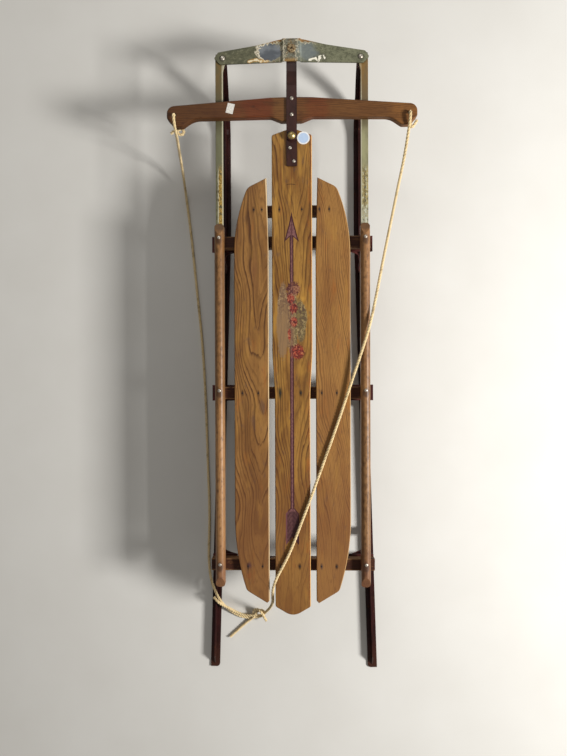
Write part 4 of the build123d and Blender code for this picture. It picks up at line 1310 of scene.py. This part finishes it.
def tag_sheet():
    """A thin sheet of paper with two of its corners lifted a little."""
    spot = upright(*TAG_CENTRE, bar_top, TAG_TILT)
    count = TAG_STEPS + 1
    corners = []
    for layer in TAG_LAYERS:
        for row in range(count):
            for column in range(count):
                u = column / TAG_STEPS - 0.5
                v = row / TAG_STEPS - 0.5
                far = FAR_LIFT * max(0.0, u + v - FAR_FLAT)
                near = NEAR_LIFT * max(0.0, -u - v - NEAR_FLAT)
                corners.append(spot @ Vector((u * TAG_SIZE[0], v * TAG_SIZE[1], layer + far + near)))
    faces = []
    bottom = count * count
    for row in range(TAG_STEPS):
        for column in range(TAG_STEPS):
            a = row * count + column
            face = [a, a + 1, a + 1 + count, a + count]
            faces.append(face)
            faces.append([bottom + corner for corner in reversed(face)])
    last = TAG_STEPS * count
    for step in range(TAG_STEPS):
        for a, b in (
            (step + 1, step),
            (last + step, last + step + 1),
            (step * count, (step + 1) * count),
            ((step + 1) * count + TAG_STEPS, step * count + TAG_STEPS),
        ):
            faces.append([a, b, bottom + b, bottom + a])
    return corners, faces


add_piece("bar_label", *tag_sheet(), paper_finish, "steering", "reddish_wood")
print("labels are blank")

# %% [markdown]
# The runners and front strips are spring steel: when the rider steers, their front ends bend sideways
# with the bumper. A rigid CAD node can't do that, so each gets a copy of its own mesh, cut across
# every few millimetres so that it has corners to bend at.
# Its edges are smoothed only where they are nearly flat, so that the web's plane sides stay plane to the
# light.

# %% Bending steel
BEND_START_Y = 320.0
BEND_END_Y = 672.0
BEND_STEP = 15.0
STEEL_CREASE = 4.0
WELD_DISTANCE = 0.000001


def bendable(node, finish):
    """A copy of a CAD node, cut across its front part from the sled to the bumper."""
    mesh = nodes[node].data.copy()
    body = bmesh.new()
    body.from_mesh(mesh)
    bmesh.ops.remove_doubles(body, verts=body.verts, dist=WELD_DISTANCE)
    y = BEND_START_Y
    while y < BEND_END_Y:
        parts = body.verts[:] + body.edges[:] + body.faces[:]
        bmesh.ops.bisect_plane(body, geom=parts, plane_co=(0, y * MM, 0), plane_no=(0, 1, 0))
        y += BEND_STEP
    body.to_mesh(mesh)
    body.free()
    mesh.shade_smooth()
    mesh.set_sharp_from_angle(angle=math.radians(STEEL_CREASE))
    mesh.materials.clear()
    mesh.materials.append(finish.material)
    piece = bpy.data.objects.new(node + "_steel", mesh)
    scene.collection.objects.link(piece)
    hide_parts(node)
    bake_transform(piece)
    return piece


bent = []
for side in ("left", "right"):
    bent.append(bendable("runner_" + side, runner_finish))
    bent.append(bendable("front_strip_" + side, strip_finish))
print("bendable pieces", len(bent))

# %% [markdown]
# The pull rope is cotton: three strands twisted about each other. A plain tube would look like wire, so each
# strand is a tube of its own that winds round the rope's centre line. The centre line is a smooth NURBS line
# with the CAD route's points. It runs from the stopper knot below the bar, up through the hole, hangs beside
# the rail, crosses rail and slats, and drops behind them to the knot. The left part lies on the floor.

# %% Rope finish
rope_finish = Finish("cotton_rope", {"Roughness": 0.85, "Specular IOR Level": 0.2, "Sheen Weight": 0.25})
rope_fibre = rope_finish.noise(0.9, detail=4.0, seed=131.0)
rope_grime = rope_finish.noise(14.0, detail=4.0, seed=133.0)
rope_colour = rope_finish.mix(rgb(236, 214, 168), rgb(200, 172, 118), rope_fibre.ramp(0.3, 0.75))
rope_colour = rope_colour.coat(rgb(150, 124, 84), rope_grime.ramp(0.5, 0.75) * 0.6)
rope_finish.put("Base Color", rope_colour)
rope_finish.raise_by(rope_fibre, 0.35)
print("rope finish is ready")

# %% Rope geometry
STRANDS = 3
STRAND_RADIUS = 1.8
STRAND_REACH = 1.58
LAY_LENGTH = 21.0
STRAND_SIDES = 8
ROPE_STEP = 2.2


def smooth_line(points):
    """Points of the smooth NURBS line that the given control points make, in millimetres."""
    curve = bpy.data.curves.new("line", "CURVE")
    curve.dimensions = "3D"
    curve.resolution_u = 10
    spline = curve.splines.new("NURBS")
    spline.points.add(len(points) - 1)
    for point, place in zip(spline.points, points):
        point.co = (*(Vector(place) * MM), 1)
    spline.order_u = 3
    spline.use_endpoint_u = True
    holder = bpy.data.objects.new("line", curve)
    scene.collection.objects.link(holder)
    mesh = bpy.data.meshes.new_from_object(holder)
    line = [corner.co / MM for corner in mesh.vertices]
    bpy.data.objects.remove(holder)
    bpy.data.curves.remove(curve)
    bpy.data.meshes.remove(mesh)
    return line


def length_of(line):
    """The length of a line, in its own unit."""
    return sum((b - a).length for a, b in zip(line, line[1:]))


def evenly(line, step):
    """The same line with points about a step apart."""
    whole = length_of(line)
    count = max(2, round(whole / step))
    spots = [whole * part / count for part in range(count + 1)]
    found = []
    walked = 0.0
    index = 0
    for spot in spots:
        while index < len(line) - 2 and walked + (line[index + 1] - line[index]).length < spot:
            walked += (line[index + 1] - line[index]).length
            index += 1
        run = line[index + 1] - line[index]
        share = (spot - walked) / run.length if run.length else 0.0
        found.append(line[index] + run * min(1.0, max(0.0, share)))
    return found


def carried_frames(line):
    """Two side directions at each point of a line, carried along it without a twist of their own."""
    ways = []
    for index in range(len(line)):
        before = line[max(0, index - 1)]
        after = line[min(len(line) - 1, index + 1)]
        ways.append((after - before).normalized())
    side = ways[0].orthogonal().normalized()
    frames = []
    for way in ways:
        side = (side - way * side.dot(way)).normalized()
        frames.append((way, side, way.cross(side)))
    return frames


def twisted(line):
    """Corners and faces of three strands that wind round a line."""
    points = evenly(line, ROPE_STEP)
    frames = carried_frames(points)
    step = length_of(points) / (len(points) - 1)
    corners = []
    faces = []
    for strand in range(STRANDS):
        first = len(corners)
        for index, (point, (way, side, up)) in enumerate(zip(points, frames)):
            angle = 2 * math.pi * (index * step / LAY_LENGTH + strand / STRANDS)
            out = side * math.cos(angle) + up * math.sin(angle)
            over = way.cross(out)
            centre = point + out * STRAND_REACH
            for corner in range(STRAND_SIDES):
                turn = 2 * math.pi * corner / STRAND_SIDES
                corners.append(centre + (out * math.cos(turn) + over * math.sin(turn)) * STRAND_RADIUS)
        last = first + (len(points) - 1) * STRAND_SIDES
        for ring in range(first, last, STRAND_SIDES):
            for corner in range(STRAND_SIDES):
                ahead = (corner + 1) % STRAND_SIDES
                after = ring + STRAND_SIDES
                faces.append([ring + corner, ring + ahead, after + ahead, after + corner])
        faces.append([first + corner for corner in reversed(range(STRAND_SIDES))])
        faces.append([last + corner for corner in range(STRAND_SIDES)])
    return corners, faces


print("a rope is", STRANDS, "strands of", 2 * STRAND_RADIUS, "mm")

# %% Rope routes
rope_right_route = [
    (248.0, 546.0, 158.4),
    (248.3, 545.4, 170.0),
    (248.0, 545.3, 187.5),
    (246.6, 524.0, 184.5),
    (244.5, 500.0, 173.0),
    (239.0, 455.0, 158.0),
    (228.4, 402.0, 149.0),
    (218.0, 349.0, 146.0),
    (204.5, 287.0, 151.0),
    (189.0, 217.0, 163.0),
    (176.0, 158.0, 177.0),
    (162.5, 101.0, 187.5),
    (145.0, 46.0, 187.0),
    (115.0, -46.0, 177.5),
    (90.5, -119.0, 176.0),
    (62.0, -197.0, 176.5),
    (35.0, -272.0, 176.0),
    (14.0, -326.0, 176.2),
    (-3.0, -371.0, 176.0),
    (-20.5, -407.0, 176.5),
    (-35.0, -432.0, 177.0),
    (-43.4, -457.0, 176.0),
    (-44.0, -479.0, 161.0),
    (-44.6, -500.0, 131.0),
    (-48.5, -523.0, 95.0),
    (-55.0, -546.0, 58.0),
    (-63.0, -565.0, 27.0),
    (-70.0, -577.0, 13.0),
]
rope_left_route = [
    (-83.0, -586.0, 9.0),
    (-100.7, -591.0, 3.6),
    (-123.8, -589.8, 3.4),
    (-145.4, -579.6, 3.6),
    (-163.1, -563.8, 10.0),
    (-176.1, -539.5, 27.0),
    (-187.7, -514.0, 29.5),
    (-198.0, -493.3, 17.0),
    (-204.2, -465.3, 3.8),
    (-205.3, -424.0, 3.4),
    (-203.0, -370.0, 3.4),
    (-203.4, -300.0, 3.4),
    (-206.2, -225.0, 3.4),
    (-208.3, -150.0, 3.4),
    (-210.8, -70.0, 3.4),
    (-214.5, 10.0, 3.4),
    (-220.4, 95.0, 3.4),
    (-229.1, 180.0, 3.4),
    (-236.3, 253.0, 3.4),
    (-243.2, 323.0, 3.4),
    (-250.7, 386.0, 3.8),
    (-255.2, 427.0, 10.0),
    (-257.1, 458.0, 24.0),
    (-257.4, 481.0, 46.0),
    (-256.0, 496.0, 76.0),
    (-252.8, 504.5, 110.0),
    (-249.3, 510.0, 140.0),
    (-247.2, 512.5, 164.0),
    (-246.3, 518.5, 181.0),
    (-246.6, 530.5, 187.0),
    (-248.0, 545.4, 187.8),
    (-248.3, 545.3, 167.0),
    (-249.3, 543.0, 150.0),
    (-250.5, 541.0, 135.0),
]
rope_lines = {"right": smooth_line(rope_right_route), "left": smooth_line(rope_left_route)}
print("rope lengths", {side: round(length_of(line), 1) for side, line in rope_lines.items()})

# %% [markdown]
# The rope's two parts are tied together behind the sled with a small hard knot: each end turns round the
# other and comes out again, one short and one as a long tail on the floor. Under each end of the bar a
# stopper knot keeps the rope in its hole: the end is wound back round the rope and pokes out. These are
# lines of the same twisted rope, given one by one where the rope turns, or by a loop where it is wound.

# %% Knots
short_end_route = [
    (-64.5, -568.0, 22.0),
    (-72.0, -578.0, 13.0),
    (-82.0, -584.5, 8.0),
    (-91.0, -585.0, 6.5),
    (-97.5, -579.5, 7.5),
    (-97.0, -571.5, 10.5),
    (-91.0, -566.5, 15.0),
    (-84.0, -564.5, 20.0),
    (-78.0, -568.5, 22.5),
    (-73.0, -578.0, 21.0),
    (-69.0, -586.5, 18.5),
    (-65.6, -593.5, 15.5),
]
tail_route = [
    (-92.0, -588.8, 6.2),
    (-83.0, -586.0, 9.0),
    (-75.0, -583.5, 11.5),
    (-69.5, -576.5, 14.5),
    (-72.5, -568.5, 17.0),
    (-81.5, -567.5, 15.0),
    (-89.5, -573.0, 13.0),
    (-94.0, -582.0, 12.5),
    (-98.5, -590.0, 9.0),
    (-106.2, -596.0, 4.6),
    (-122.0, -609.5, 3.6),
    (-138.0, -624.0, 3.5),
    (-153.5, -638.0, 4.0),
]
doubled_route = [
    (-88.0, -580.0, 14.0),
    (-102.0, -583.5, 9.5),
    (-122.3, -584.0, 6.0),
    (-141.4, -575.2, 6.5),
    (-155.0, -565.0, 13.0),
    (-166.0, -556.0, 21.0),
    (-176.0, -546.0, 30.0),
    (-183.0, -538.5, 31.5),
    (-189.5, -532.0, 29.0),
]


def stopper_route(x, y, top, low, way, tail):
    """A rope's end that runs down, turns up, is wound round itself and ends in a tail."""
    wind, turns, rise, count = 6.3, 1.75, 11.0, 15
    wound_from = low + 3.5
    points = [(x, y, top), (x, y, (top + low) / 2), (x + way, y, low + 3.0)]
    for step in range(count):
        share = step / (count - 1)
        angle = 2 * math.pi * turns * share - math.pi / 2
        reach = wind if step else 0.6 * wind
        side, ahead = way * reach * math.cos(angle), reach * math.sin(angle)
        points.append((x + side, y + ahead, wound_from + rise * share))
    return points + tail


stopper_right_tail = [
    (256.8, 538.0, 149.5),
    (253.5, 528.5, 150.0),
    (257.5, 525.5, 150.5),
    (263.5, 532.0, 150.0),
    (268.5, 541.5, 149.0),
]
stopper_right_route = stopper_route(248.0, 546.0, 162.0, 134.0, -1, stopper_right_tail)
stopper_left_route = [
    (-249.6, 542.6, 149.0),
    (-250.5, 541.0, 135.0),
    (-250.0, 539.5, 124.0),
    (-246.5, 543.5, 118.5),
    (-240.5, 541.5, 117.0),
    (-238.5, 534.5, 116.5),
    (-243.5, 529.0, 117.0),
    (-251.0, 530.5, 119.0),
    (-254.5, 537.5, 121.5),
    (-251.0, 544.0, 125.0),
    (-245.0, 542.0, 128.5),
    (-246.5, 536.0, 128.5),
    (-254.0, 534.5, 126.0),
    (-260.5, 536.5, 122.5),
    (-267.5, 532.5, 117.5),
]


def rope_piece(name, line, body):
    """Twisted rope along a line, as a piece."""
    return add_piece(name, *twisted(line), rope_finish, body, "cotton_rope")


short_end = rope_piece("rope_knot_short_end", smooth_line(short_end_route), "sled")
long_end = rope_piece("rope_knot_tail", smooth_line(tail_route), "sled")
doubled_end = rope_piece("rope_doubled_end", smooth_line(doubled_route), "sled")
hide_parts("rope_knot")
stoppers = {}
for side, route in (("left", stopper_left_route), ("right", stopper_right_route)):
    stoppers[side] = rope_piece("rope_stopper_knot_" + side, smooth_line(route), "steering")
    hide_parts("rope_stopper_" + side)
print("knots are tied")

# %% Ropes
rope_ends = {
    "right": (rope_right_route[0], "knot", [stoppers["right"], short_end]),
    "left": (rope_left_route[-1], "knot", [stoppers["left"], long_end, doubled_end]),
}
for side, line in rope_lines.items():
    start, far_end, carried = rope_ends[side]
    if side == "left":
        line = line[::-1]
    rope = rope_piece("pull_rope_" + side, line, None)
    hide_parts("rope_" + side)
    [value * MM for value in start]
    length_of(line) * MM
    [point * MM for point in line]
    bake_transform(rope)
    print("rope", side, round(length_of(line)), "mm", len(rope.data.polygons), "faces")
